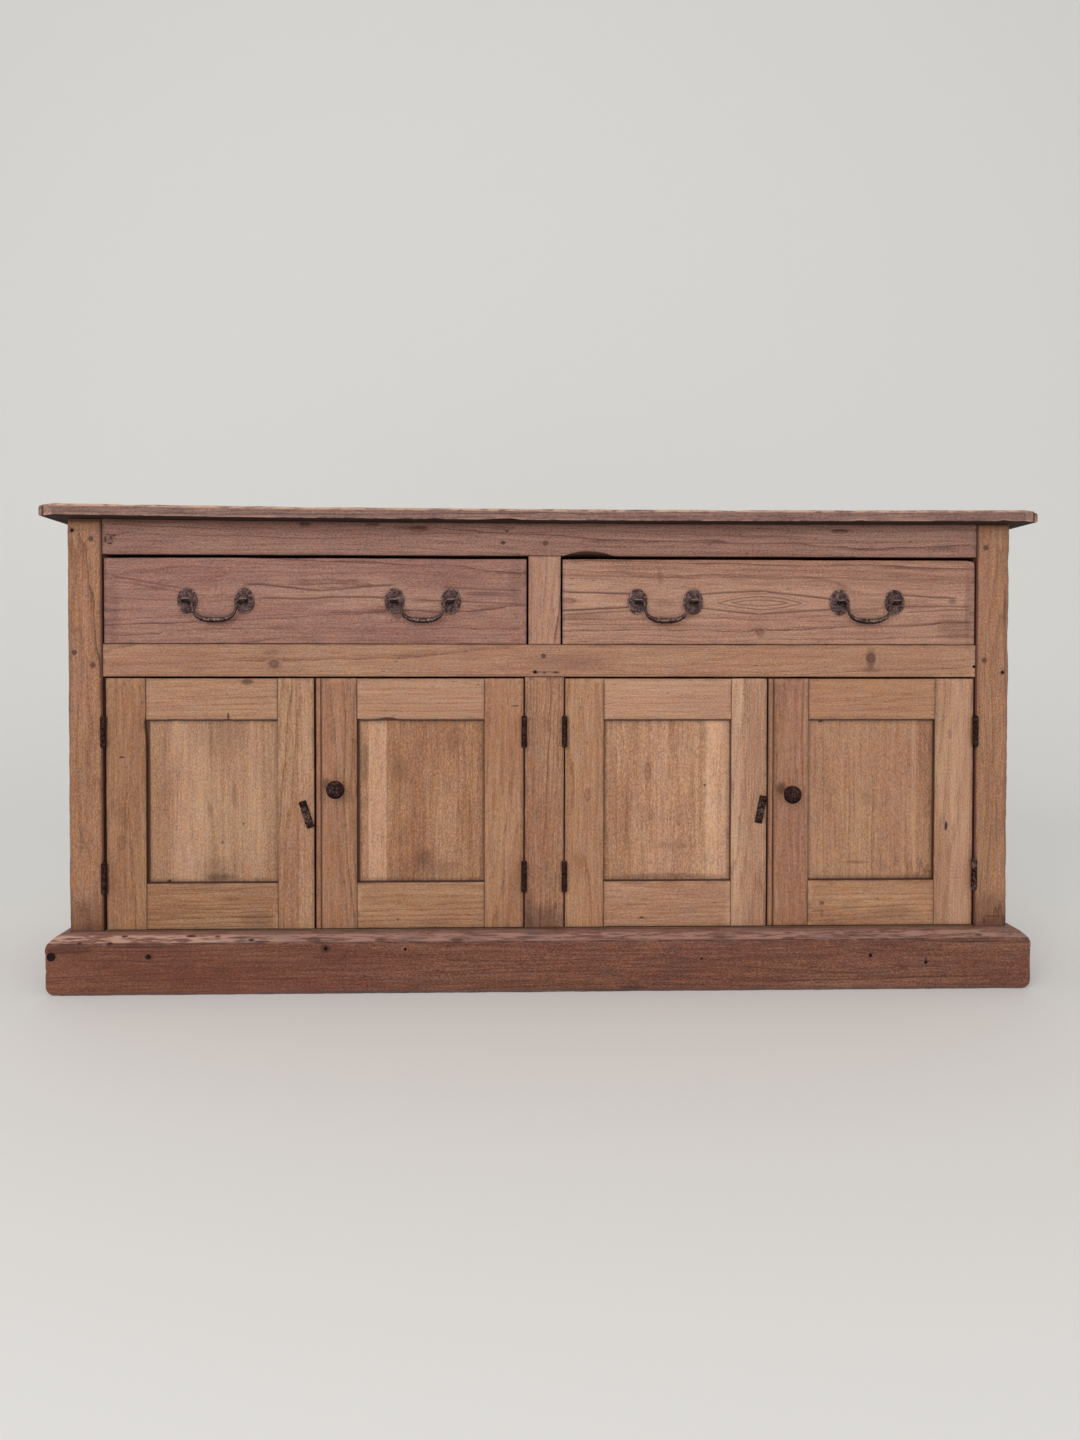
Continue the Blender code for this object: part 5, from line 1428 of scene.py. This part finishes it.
def turned(profile, sides, centre, values, lay=Matrix.Identity(3)):
    # a shape turned round +Z, then laid over and moved to centre
    points = []
    for radius, height in profile:
        for step in range(sides):
            angle = math.tau * step / sides
            spot = Vector((radius * math.cos(angle), radius * math.sin(angle), height))
            points.append(lay @ spot + Vector(centre))
    return points, loopFaces(sides, len(profile)), list(np.repeat(values, sides))


def cloudOf(points):
    return np.array([tuple(point) for point in points])


def gather(parts):
    # several closed shapes as one cloud of points, with their faces and their values of wear and highlight
    points, faces, rub = [], [], []
    for morePoints, moreFaces, moreRub in parts:
        base = len(points)
        points += list(morePoints)
        faces += [tuple(base + corner for corner in face) for face in moreFaces]
        rub += list(moreRub)
    return cloudOf(points), faces, np.array(rub)


def pitted(cloud, depth, size, seed):
    outward = cloud - cloud.mean(axis=0)
    outward /= np.maximum(np.linalg.norm(outward, axis=1), 1e-6)[:, None]
    return cloud + outward * (ripple(cloud, size, seed) * depth)[:, None]


def plateShape(centreX, back, centreZ, seed):
    sides = handle["plateSides"]
    points, rub = [], []
    for share, rise in handle["plateProfile"]:
        for step in range(sides):
            angle = math.tau * step / sides
            uneven = 1 + 0.012 * math.sin(3 * angle + seed) + 0.008 * math.sin(7 * angle + 2 * seed)
            across = handle["plateWidth"] / 2 * share * uneven * math.cos(angle)
            up = handle["plateHeight"] / 2 * share * uneven * math.sin(angle)
            points.append(Vector((centreX + across, back - rise, centreZ + up)))
            rub.append(0.55 if 0.9 < share < 0.99 else 0.15)
    return points, loopFaces(sides, len(handle["plateProfile"])), rub


def lugShape(centreX, pivotY, centreZ):
    half, radius = handle["lugLength"] / 2, handle["lugRadius"]
    end = [(radius * share, gap - half) for share, gap, _ in handle["lugProfile"]]
    profile = end + [(radius * 1.03, 0.0)] + [(wide, -along) for wide, along in reversed(end)]
    values = [value for _, _, value in handle["lugProfile"]]
    lay = Matrix.Rotation(math.radians(90), 3, "Y")
    return turned(profile, 28, (centreX, pivotY, centreZ), values + [0.45] + values[::-1], lay)


def neckShape(centreX, back, pivotY, centreZ):
    points = []
    for share, width, tall in handle["neck"]:
        depth = back - 0.0020 + (pivotY - back + 0.0020) * share
        for cornerX, cornerZ in ((-1, -1), (1, -1), (1, 1), (-1, 1)):
            points.append(Vector((centreX + cornerX * width, depth, centreZ + cornerZ * tall)))
    return points, loopFaces(4, len(handle["neck"])), [0.1] * len(points)


def makePlate(name, body, seed):
    centreX, back, centreZ = rearCentre(name)
    pivotY = jointOf[bailOf(name) + "_swing"]["pos_m"][1]
    cloud, faces, rub = gather([plateShape(centreX, back, centreZ, seed), lugShape(centreX, pivotY, centreZ),
                                neckShape(centreX, back, pivotY, centreZ)])
    rub = rub + 0.25 * ripple(cloud, 0.012, 210 + int(seed * 10))
    isLug = cloud[:, 1] < back - handle["plateProfile"][-1][1] - 0.0008
    # painted highlight on top of the lug and painted shade under it
    rise = (cloud[:, 2] - centreZ) / handle["lugRadius"]
    rub[isLug & (rise > 0.55)] += 0.5
    under = np.where(isLug, np.clip(1.1 - 1.6 * rise, 0, 1), 0.0)
    cloud[:, 1] += 0.00012 * ripple(cloud, 0.008, 200 + int(seed * 10))
    piece = meshPiece(name.replace("_plate_", "_backplate_"), cloud, faces, {"rub": rub, "under": under}, 42)
    finishPiece(piece, body, plateIron, "iron", name)
    return centreX, centreZ


def bailOf(name):
    # drawer_left_outer_plate_left and drawer_left_outer_bail give bail_left_outer
    return "bail_%s_%s" % tuple(name.split("_")[1:3])


def bailLine():
    # the rod's middle line about its pivots, with the share of grip at each point
    half = handle["spacing"] / 2
    arm = half - handle["armInset"]
    elbow = handle["elbow"]
    side = [(half + 0.0012, 0.0, 0.0), (arm + elbow, 0.0, 0.0)]
    for step in range(1, 6):
        turn = math.radians(90) * step / 5
        side.append((arm + elbow - elbow * math.sin(turn), -elbow + elbow * math.cos(turn), 0.0))
    arc = []
    total = 56
    for step in range(1, total):
        turn = math.pi * step / total
        across = math.copysign(abs(math.cos(turn)) ** handle["squareness"], math.cos(turn))
        down = math.sin(turn) ** handle["squareness"]
        arc.append((arm * across, -elbow - (handle["drop"] - elbow) * down, math.sin(turn) ** 3))
    return side + arc + [(-x, z, grip) for x, z, grip in reversed(side)]


def makeBail(node, middleX, middleZ, seed):
    pivotY = jointOf[bailOf(node) + "_swing"]["pos_m"][1]
    line = bailLine()
    sides = handle["rodSides"]
    points, rub = [], []
    for index, (x, z, grip) in enumerate(line):
        before, after = line[max(index - 1, 0)], line[min(index + 1, len(line) - 1)]
        run = Vector((after[0] - before[0], 0, after[1] - before[1])).normalized()
        across = Vector((run.z, 0, -run.x))
        bead = 0.0006 * math.exp(-((grip - 0.30) / 0.06) ** 2)      # a small collar at each end of the grip
        for step in range(sides):
            turn = math.tau * step / sides
            rib = 1 + 0.06 * grip * math.cos(8 * turn)
            wide, tall = [(handle["rod"] + (handle[key] - handle["rod"]) * grip + bead) * rib
                          for key in ("gripWide", "gripTall")]
            offset = across * tall * math.cos(turn) + Vector((0, 1, 0)) * wide * math.sin(turn)
            points.append(Vector((middleX + x, pivotY, middleZ + z)) + offset)
            # the rod's front and upper sides are paler, a painted highlight; the grip is paler still from
            # wear
            facing = max(-math.sin(turn), 0) * 0.4 + max(math.cos(turn) * -across.z, 0) * 0.2
            rub.append(0.06 + facing * 0.7 + grip * 0.24)
    cloud = cloudOf(points)
    cloud += 0.00010 * np.stack([ripple(cloud, 0.01, seed + shift) for shift in range(3)], axis=1)
    piece = meshPiece(node.replace("_bail", "_drop_handle"), cloud, loopFaces(sides, len(line)), {"rub": rub},
                      60)
    # its underside gets painted shade
    markUnder(piece)
    finishPiece(piece, bailOf(node), rubbedIron, "iron", node)


def makeHandles():
    spots = {"drawer_left": [], "drawer_right": []}
    seed = 1.0
    for side in ("left", "right"):
        for place in ("outer", "inner"):
            centres = []
            for end in ("left", "right"):
                name = "drawer_%s_%s_plate_%s" % (side, place, end)
                centres.append(makePlate(name, "drawer_" + side, seed))
                seed += 1.3
            for x, z in centres:
                for way in (-1, 1):
                    spots["drawer_" + side].append((x, faceDepth - 0.0023, z + way * handle["screwRise"]))
            middle = (centres[0][0] + centres[1][0]) / 2
            makeBail("drawer_%s_%s_bail" % (side, place), middle, centres[0][1], 220 + int(seed * 7))
    return spots


handleScrews = makeHandles()
print("handles made")


knob = {
    "sides": 56,
    "profile": ((0.0107, 0.0), (0.0108, 0.0012), (0.0100, 0.0022), (0.0078, 0.0030), (0.0066, 0.0042),
                (0.0064, 0.0090), (0.0068, 0.0130), (0.0090, 0.0150), (0.0128, 0.0162), (0.0156, 0.0180),
                (0.0167, 0.0202), (0.0167, 0.0220), (0.0156, 0.0242), (0.0132, 0.0257), (0.0095, 0.0266),
                (0.0050, 0.0270), (0.0012, 0.0271)),
}


def makeKnob(node, body, seed):
    values = [0.2] * 9 + [0.25, 0.35, 0.35, 0.3, 0.25, 0.2, 0.2, 0.2]
    lay = Matrix.Rotation(math.radians(90), 3, "X")
    points, faces, rub = turned(knob["profile"], knob["sides"], rearCentre(node), values, lay)
    cloud = pitted(cloudOf(points), 0.00012, 0.006, seed)
    rub = np.array(rub) + 0.1 * ripple(cloud, 0.01, seed)
    piece = meshPiece(node + "_turned", cloud, faces, {"rub": rub}, 50)
    # its underside gets painted shade
    markUnder(piece)
    finishPiece(piece, body, blackIron, "iron", node)


makeKnob("knob_left", "door_2", 301)
makeKnob("knob_right", "door_4", 307)


button = {
    "length": 0.052,
    "width": 0.0135,
    "thick": 0.0050,
    "profile": ((0.0, 0.30), (0.010, 0.62), (0.030, 0.68), (0.075, 0.68), (0.095, 0.84), (0.125, 0.84),
                (0.145, 0.66), (0.19, 0.66), (0.215, 1.0), (0.30, 1.0), (0.40, 1.0), (0.5, 1.0)),
}


def makeButton(node, body, lean):
    centre = Vector(rearCentre(node))
    profile = list(button["profile"])
    profile += [(1 - share, rise) for share, rise in reversed(profile[:-1])]
    turn = Matrix.Rotation(-lean, 3, "Y")
    points, rub = [], []
    for share, rise in profile:
        along = (share - 0.5) * button["length"]
        half = button["width"] / 2 * (0.93 if share in (0.0, 1.0) else 1.0)
        top = button["thick"] * rise
        ring = [(-half, 0.0), (half, 0.0), (half, top * 0.72), (half * 0.90, top * 0.95), (half * 0.5, top),
                (-half * 0.5, top), (-half * 0.90, top * 0.95), (-half, top * 0.72)]
        for across, up in ring:
            points.append(centre + turn @ Vector((across, -up, along)))
            rub.append(0.45 if up > top * 0.9 and rise > 0.8 else 0.12)
    piece = meshPiece(node + "_bar", cloudOf(points), loopFaces(8, len(profile)), {"rub": rub}, 30)
    finishPiece(piece, body, blackIron, "iron", node)
    return (centre.x, centre.y - button["thick"] - 0.0002, centre.z)


buttonScrews = {
    "button_left": [makeButton("turn_button_left", "button_left", math.radians(18))],
    "button_right": [makeButton("turn_button_right", "button_right", math.radians(-11))],
}
print("knobs and turn buttons made")


# Geometry Nodes: one tree sets a stud on every point, as a screw, nail or peg

stud = {
    "screw": {"Radius": 0.0031, "Rise": 0.0011, "Dome": 0.0003, "Slot Width": 0.0009, "Slot Depth": 0.0009,
              "Sides": 20, "Uneven": 0.04},
    "nail": {"Radius": 0.0026, "Rise": 0.0006, "Dome": 0.0005, "Slot Width": 0.0, "Slot Depth": 0.0,
             "Sides": 9, "Uneven": 0.25},
    "peg": {"Radius": 0.0044, "Rise": 0.0004, "Dome": 0.0002, "Slot Width": 0.0, "Slot Depth": 0.0,
            "Sides": 11, "Uneven": 0.12},
}


def studTree():
    tree = bpy.data.node_groups.new("studs", "GeometryNodeTree")
    face = tree.interface
    face.new_socket("Geometry", in_out="INPUT", socket_type="NodeSocketGeometry")
    for name in ("Radius", "Rise", "Dome", "Slot Width", "Slot Depth", "Uneven"):
        face.new_socket(name, in_out="INPUT", socket_type="NodeSocketFloat")
    for name in ("Sides", "Seed"):
        face.new_socket(name, in_out="INPUT", socket_type="NodeSocketInt")
    face.new_socket("Material", in_out="INPUT", socket_type="NodeSocketMaterial")
    face.new_socket("Geometry", in_out="OUTPUT", socket_type="NodeSocketGeometry")
    entry = tree.nodes.new("NodeGroupInput").outputs
    leave = tree.nodes.new("NodeGroupOutput").inputs

    def add(kind, settings, sockets, out=0):
        return addNode(tree, kind, settings, sockets).outputs[out]

    def maths(operation, first, second):
        return add("ShaderNodeMath", {"operation": operation}, {0: first, 1: second})

    # the head: a short cylinder whose top is pushed up into a low dome
    long = maths("MULTIPLY", entry["Rise"], 2.0)
    head = add("GeometryNodeMeshCylinder", {"fill_type": "NGON"},
               {"Vertices": entry["Sides"], "Side Segments": 1, "Fill Segments": 4, "Radius": entry["Radius"],
                "Depth": long})
    spot = add("GeometryNodeInputPosition", {}, {})
    up = add("ShaderNodeSeparateXYZ", {}, {0: spot}, 2)
    flat = add("ShaderNodeVectorMath", {"operation": "MULTIPLY"}, {0: spot, 1: (1, 1, 0)})
    away = add("ShaderNodeVectorMath", {"operation": "LENGTH"}, {0: flat}, 1)
    away = maths("DIVIDE", away, entry["Radius"])
    bulge = maths("MULTIPLY", maths("SUBTRACT", 1.0, maths("MULTIPLY", away, away)), entry["Dome"])
    lift = add("ShaderNodeCombineXYZ", {}, {2: bulge})
    isTop = maths("GREATER_THAN", up, 0.0)
    domed = add("GeometryNodeSetPosition", {}, {"Geometry": head, "Selection": isTop, "Offset": lift})

    # the slot, where there is one
    wide = maths("MULTIPLY", entry["Radius"], 2.4)
    deep = maths("MULTIPLY", entry["Slot Depth"], 2.0)
    size = add("ShaderNodeCombineXYZ", {}, {0: wide, 1: entry["Slot Width"], 2: deep})
    bar = add("GeometryNodeMeshCube", {}, {"Size": size})
    peak = add("ShaderNodeCombineXYZ", {}, {2: maths("ADD", entry["Rise"], entry["Dome"])})
    bar = add("GeometryNodeTransform", {}, {"Geometry": bar, "Translation": peak})
    cut = add("GeometryNodeMeshBoolean", {"operation": "DIFFERENCE"}, {"Mesh 1": domed, "Mesh 2": bar})
    slotted = maths("GREATER_THAN", entry["Slot Width"], 0.0)
    shape = add("GeometryNodeSwitch", {"input_type": "GEOMETRY"},
                {"Switch": slotted, "False": domed, "True": cut})

    # each one faces its own way and is turned and sized by chance
    chance = add("FunctionNodeRandomValue", {"data_type": "FLOAT"},
                 {2: 0.0, 3: math.tau, "Seed": entry["Seed"]}, 1)
    twist = add("FunctionNodeEulerToRotation", {}, {0: add("ShaderNodeCombineXYZ", {}, {2: chance})})
    facing = add("GeometryNodeInputNamedAttribute", {"data_type": "FLOAT_VECTOR"}, {"Name": "facing"})
    aim = add("FunctionNodeEulerToRotation", {}, {0: facing})
    turn = add("FunctionNodeRotateRotation", {"rotation_space": "LOCAL"}, {0: aim, 1: twist})
    small = maths("SUBTRACT", 1.0, entry["Uneven"])
    large = maths("ADD", 1.0, entry["Uneven"])
    grow = add("FunctionNodeRandomValue", {"data_type": "FLOAT"},
               {2: small, 3: large, "Seed": entry["Seed"]}, 1)
    strewn = add("GeometryNodeInstanceOnPoints", {},
                 {"Points": entry["Geometry"], "Instance": shape, "Rotation": turn, "Scale": grow})
    real = add("GeometryNodeRealizeInstances", {}, {"Geometry": strewn})
    done = add("GeometryNodeSetMaterial", {}, {"Geometry": real, "Material": entry["Material"]})
    tree.links.new(done, leave["Geometry"])
    return tree


studs = studTree()
facingOf = {"front": (math.radians(90), 0, 0), "right": (0, math.radians(90), 0),
            "left": (0, math.radians(-90), 0)}


def setStuds(name, body, kind, spots, material, slot, seed=1, **changes):
    # spots are places, or places with the way they face
    mesh = bpy.data.meshes.new(name)
    places = [spot[:3] for spot in spots]
    mesh.from_pydata([tuple(place) for place in places], [], [])
    ways = [facingOf[spot[3] if len(spot) > 3 else "front"] for spot in spots]
    facing = mesh.attributes.new("facing", "FLOAT_VECTOR", "POINT")
    facing.data.foreach_set("vector", np.array(ways, np.float32).ravel())
    holder = addObject(name + "_points", mesh)
    modifier = holder.modifiers.new("studs", "NODES")
    modifier.node_group = studs
    values = dict(stud[kind], Seed=seed, Material=material, **changes)
    for item in studs.interface.items_tree:
        if item.in_out == "INPUT" and item.name in values:
            modifier[item.identifier] = values[item.name]
    graph = bpy.context.evaluated_depsgraph_get()
    made = bpy.data.meshes.new_from_object(holder.evaluated_get(graph))
    bpy.data.objects.remove(holder)
    made.name = name
    weld(made, 35, repair=False)
    return finishPiece(addObject(name, made), body, material, slot)


screwIron = makeIron("screwIron", dark=(58, 42, 38), body=(104, 82, 74), rubbed=(158, 130, 118))
nailIron = makeIron("nailIron", dark=(20, 9, 9), body=(34, 19, 17), rust=(46, 26, 22), rubbed=(60, 38, 33))
pegPine = Finish("pegPine")
pegGrain = pegPine.noise(pegPine.place("")[0], (500.0, 500.0, 500.0), 2.0)
pegPine.set(Base_Color=pegPine.blend(pegGrain, paint(64, 36, 30), paint(112, 74, 58)), Roughness=0.7)

for body, spots in handleScrews.items():
    setStuds(body + "_screws", body, "screw", spots, screwIron, "iron", seed=len(body))
for body, spots in buttonScrews.items():
    setStuds(body + "_screw", body, "screw", spots, screwIron, "iron", seed=len(body), Radius=0.0038)

proud = faceDepth - 0.0001
plinthProud = boxOf["plinth_front"][0].y - 0.0001
plinthNails = ((-0.2543, 0.0811), (0.2897, 0.0603), (0.6036, 0.0638), (0.7070, 0.0501))
bigNails = ((-0.7186, 0.0702), (-0.3989, 0.0831))
bolt = {"Radius": 0.0078, "Rise": 0.0011, "Dome": 0.0012, "Sides": 16, "Uneven": 0.05}


def onFront(places, depth):
    return [(x, depth, z) for x, z in places]


setStuds("frame_pegs", "root", "peg", onFront(framePegs, proud), pegPine.material, "frame_pine", seed=5)
setStuds("frame_nails", "root", "nail", onFront(frameNails, proud), nailIron, "iron", seed=3)
setStuds("plinth_nails", "root", "nail", onFront(plinthNails, plinthProud), nailIron, "iron", seed=9)
setStuds("plinth_big_nails", "root", "nail", onFront(bigNails, plinthProud), nailIron, "iron", seed=4,
         Radius=0.0042)
setStuds("plinth_bolt", "root", "nail", [(-0.8928, plinthProud, 0.0713)], nailIron, "iron", seed=2, **bolt)
print("screws, nails and pegs set")


# Hinges: the frame's leaf and three knuckles stay with the frame, the door's leaf and two knuckles swing

hinge = {
    "length": 0.057,
    "barrel": 0.0052,
    "knuckles": 5,
    "gap": 0.0004,
    "pin": 0.0028,
    "finial": 0.0016,
    "leafDepth": 0.024,
    "frameLeaf": (0.0004, 0.0024),
    "doorLeaf": (-0.0003, -0.0016),
    "screws": (0.009, 0.0285, 0.048),
    "worn": {(4, "lower"): 0.38},
}


def boxShape(low, high):
    points = [Vector((x, y, z)) for z in (low[2], high[2]) for x, y in
              ((low[0], low[1]), (high[0], low[1]), (high[0], high[1]), (low[0], high[1]))]
    return points, loopFaces(4, 2), [0.1] * len(points)


def spool(rim, low, high):
    # a profile to turn, with the same rim at both ends
    return [(wide, low + up) for wide, up in rim] + [(wide, high - up) for wide, up in reversed(rim)]


def makeHinge(number, level, seed):
    node = "hinge_%s_%d" % (level, number)
    side = -1 if number in (1, 3) else 1
    axisX, axisY = jointOf["door_%d_hinge" % number]["pos_m"][:2]
    axis = (axisX, axisY, 0)
    foot = boxOf[node][0].z + hinge["finial"]
    head = foot + hinge["length"]
    each = hinge["length"] / hinge["knuckles"]
    radius, gap, pin, finial = hinge["barrel"], hinge["gap"] / 2, hinge["pin"], hinge["finial"]
    sets = {"frame": [], "door": []}
    rim = ((radius * 0.90, 0.0), (radius * 0.985, 0.0004), (radius, 0.0010))
    for index in range(hinge["knuckles"]):
        profile = spool(rim, foot + index * each + gap, foot + (index + 1) * each - gap)
        sets["door" if index % 2 else "frame"].append(turned(profile, 28, axis, (0.1, 0.18, 0.1) * 2))
    tip = ((pin * 0.55, -finial), (pin * 0.95, -finial * 0.6), (pin, -0.0002))
    sets["frame"].append(turned(spool(tip, foot, head), 20, axis, [0.4] * 6))
    for key in sets:
        near, far = sorted(axisX + side * reach for reach in hinge[key + "Leaf"])
        rear = faceDepth + hinge["leafDepth"]
        if key == "door":
            rear = boxOf["door_%d_frame" % number][1].y - 0.001
        sets[key].append(boxShape((near, axisY, foot + 0.0006), (far, rear, head - 0.0006)))
        cloud, faces, rub = gather(sets[key])
        rub = rub + 0.14 * ripple(cloud, 0.014, seed) + hinge["worn"].get((number, level), 0.0)
        piece = meshPiece("%s_%s_half" % (node, key), cloud, faces, {"rub": rub}, 35)
        if key == "frame":
            finishPiece(piece, "root", blackIron, "iron", node)
        else:
            finishPiece(piece, "door_%d" % number, blackIron, "iron")
    return axisX, foot, side


leafScrews = {"root": []}
for number in doorNumbers:
    leafScrews["door_%d" % number] = []
    for level in ("upper", "lower"):
        axisX, foot, side = makeHinge(number, level, 400 + number * 3)
        for height in hinge["screws"]:
            offset = 0.004 if height == hinge["screws"][1] else -0.003
            z, ways = foot + height, ("left", "right")[::side]
            frameX, frameY = axisX + side * (hinge["frameLeaf"][0] - 0.0001), faceDepth + 0.013 + offset
            doorX, doorY = axisX + side * (hinge["doorLeaf"][0] + 0.0001), faceDepth + 0.011 + offset * 0.6
            leafScrews["root"].append((frameX, frameY, z, ways[0]))
            leafScrews["door_%d" % number].append((doorX, doorY, z, ways[1]))
for body, spots in leafScrews.items():
    setStuds("hinge_screws_" + body, body, "screw", spots, screwIron, "iron", seed=len(spots), Radius=0.0026,
             Rise=0.0002, Dome=0.0001)
print("hinges made")


# Camera, floor and light

camera = {
    "place": (-0.05560, -1.96852, 0.62902),
    "yaw": 0.0268,
    "pitch": -0.0173,
    "roll": 0.0014,
    "focal": 952.02,        # in pixels of a picture 1440 high
    "centre": 665.75,       # the picture is cut off a little off centre
    "height": 1440,
    "sensor": 36.0,
}


def makeCamera():
    data = bpy.data.cameras.new("camera")
    data.sensor_width = camera["sensor"]
    data.lens = camera["focal"] / camera["height"] * camera["sensor"]
    data.shift_y = camera["centre"] / camera["height"] - 0.5
    item = addObject("camera", data)
    yaw, pitch, roll = camera["yaw"], camera["pitch"], camera["roll"]
    ahead = Vector((math.sin(yaw) * math.cos(pitch), math.cos(yaw) * math.cos(pitch), math.sin(pitch)))
    level = Vector((math.cos(yaw), -math.sin(yaw), 0))
    upright = level.cross(ahead)
    right = level * math.cos(roll) + upright * math.sin(roll)
    up = right.cross(ahead)
    turn = Matrix((right, up, -ahead)).transposed()
    item.matrix_world = Matrix.Translation(camera["place"]) @ turn.to_4x4()
    bpy.context.scene.camera = item


room = {
    "front": -6.0,
    "back": 2.6,
    "bend": 1.2,
    "half": 7.0,
    "tall": 5.0,
    "colour": (246, 245, 242),
}


def makeFloor():
    line = [(room["front"], 0.0), (room["back"] - room["bend"], 0.0)]
    for step in range(1, 17):
        turn = math.radians(90) * step / 16
        line.append((room["back"] - room["bend"] + room["bend"] * math.sin(turn),
                     room["bend"] - room["bend"] * math.cos(turn)))
    line.append((room["back"], room["tall"]))
    points = [(side * room["half"], y, z) for y, z in line for side in (-1, 1)]
    faces = [(2 * n, 2 * n + 1, 2 * n + 3, 2 * n + 2) for n in range(len(line) - 1)]
    mesh = bpy.data.meshes.new("studio_floor")
    mesh.from_pydata(points, [], faces)
    mesh.shade_smooth()
    floor = addObject("studio_floor", mesh)
    finish = Finish("studioFloor")
    finish.set(Base_Color=paint(*room["colour"]), Roughness=0.9)
    mesh.materials.append(finish.material)


lamps = {
    "key": {"place": (-1.8, -4.2, 2.6), "aim": (0.0, 0.0, 0.45), "size": 2.4, "power": 78.0},
    "fill": {"place": (2.6, -4.4, 1.5), "aim": (0.0, 0.0, 0.45), "size": 2.6, "power": 36.0},
}
worldLevel = 0.52


def makeLamps():
    for name, spec in lamps.items():
        data = bpy.data.lights.new(name, "AREA")
        data.shape = "SQUARE"
        data.size = spec["size"]
        data.energy = spec["power"]
        item = addObject(name, data)
        item.location = spec["place"]
        beam = Vector(spec["aim"]) - Vector(spec["place"])
        item.rotation_euler = beam.to_track_quat("-Z", "Y").to_euler()
    world = bpy.data.worlds.new("studio")
    bpy.context.scene.world = world
    world.use_nodes = True
    background = world.node_tree.nodes["Background"]
    background.inputs["Color"].default_value = (1.0, 1.0, 1.0, 1.0)
    background.inputs["Strength"].default_value = worldLevel


makeCamera()
makeFloor()
makeLamps()
bpy.context.scene.view_settings.view_transform = "Standard"
print("camera, floor and lamps set")
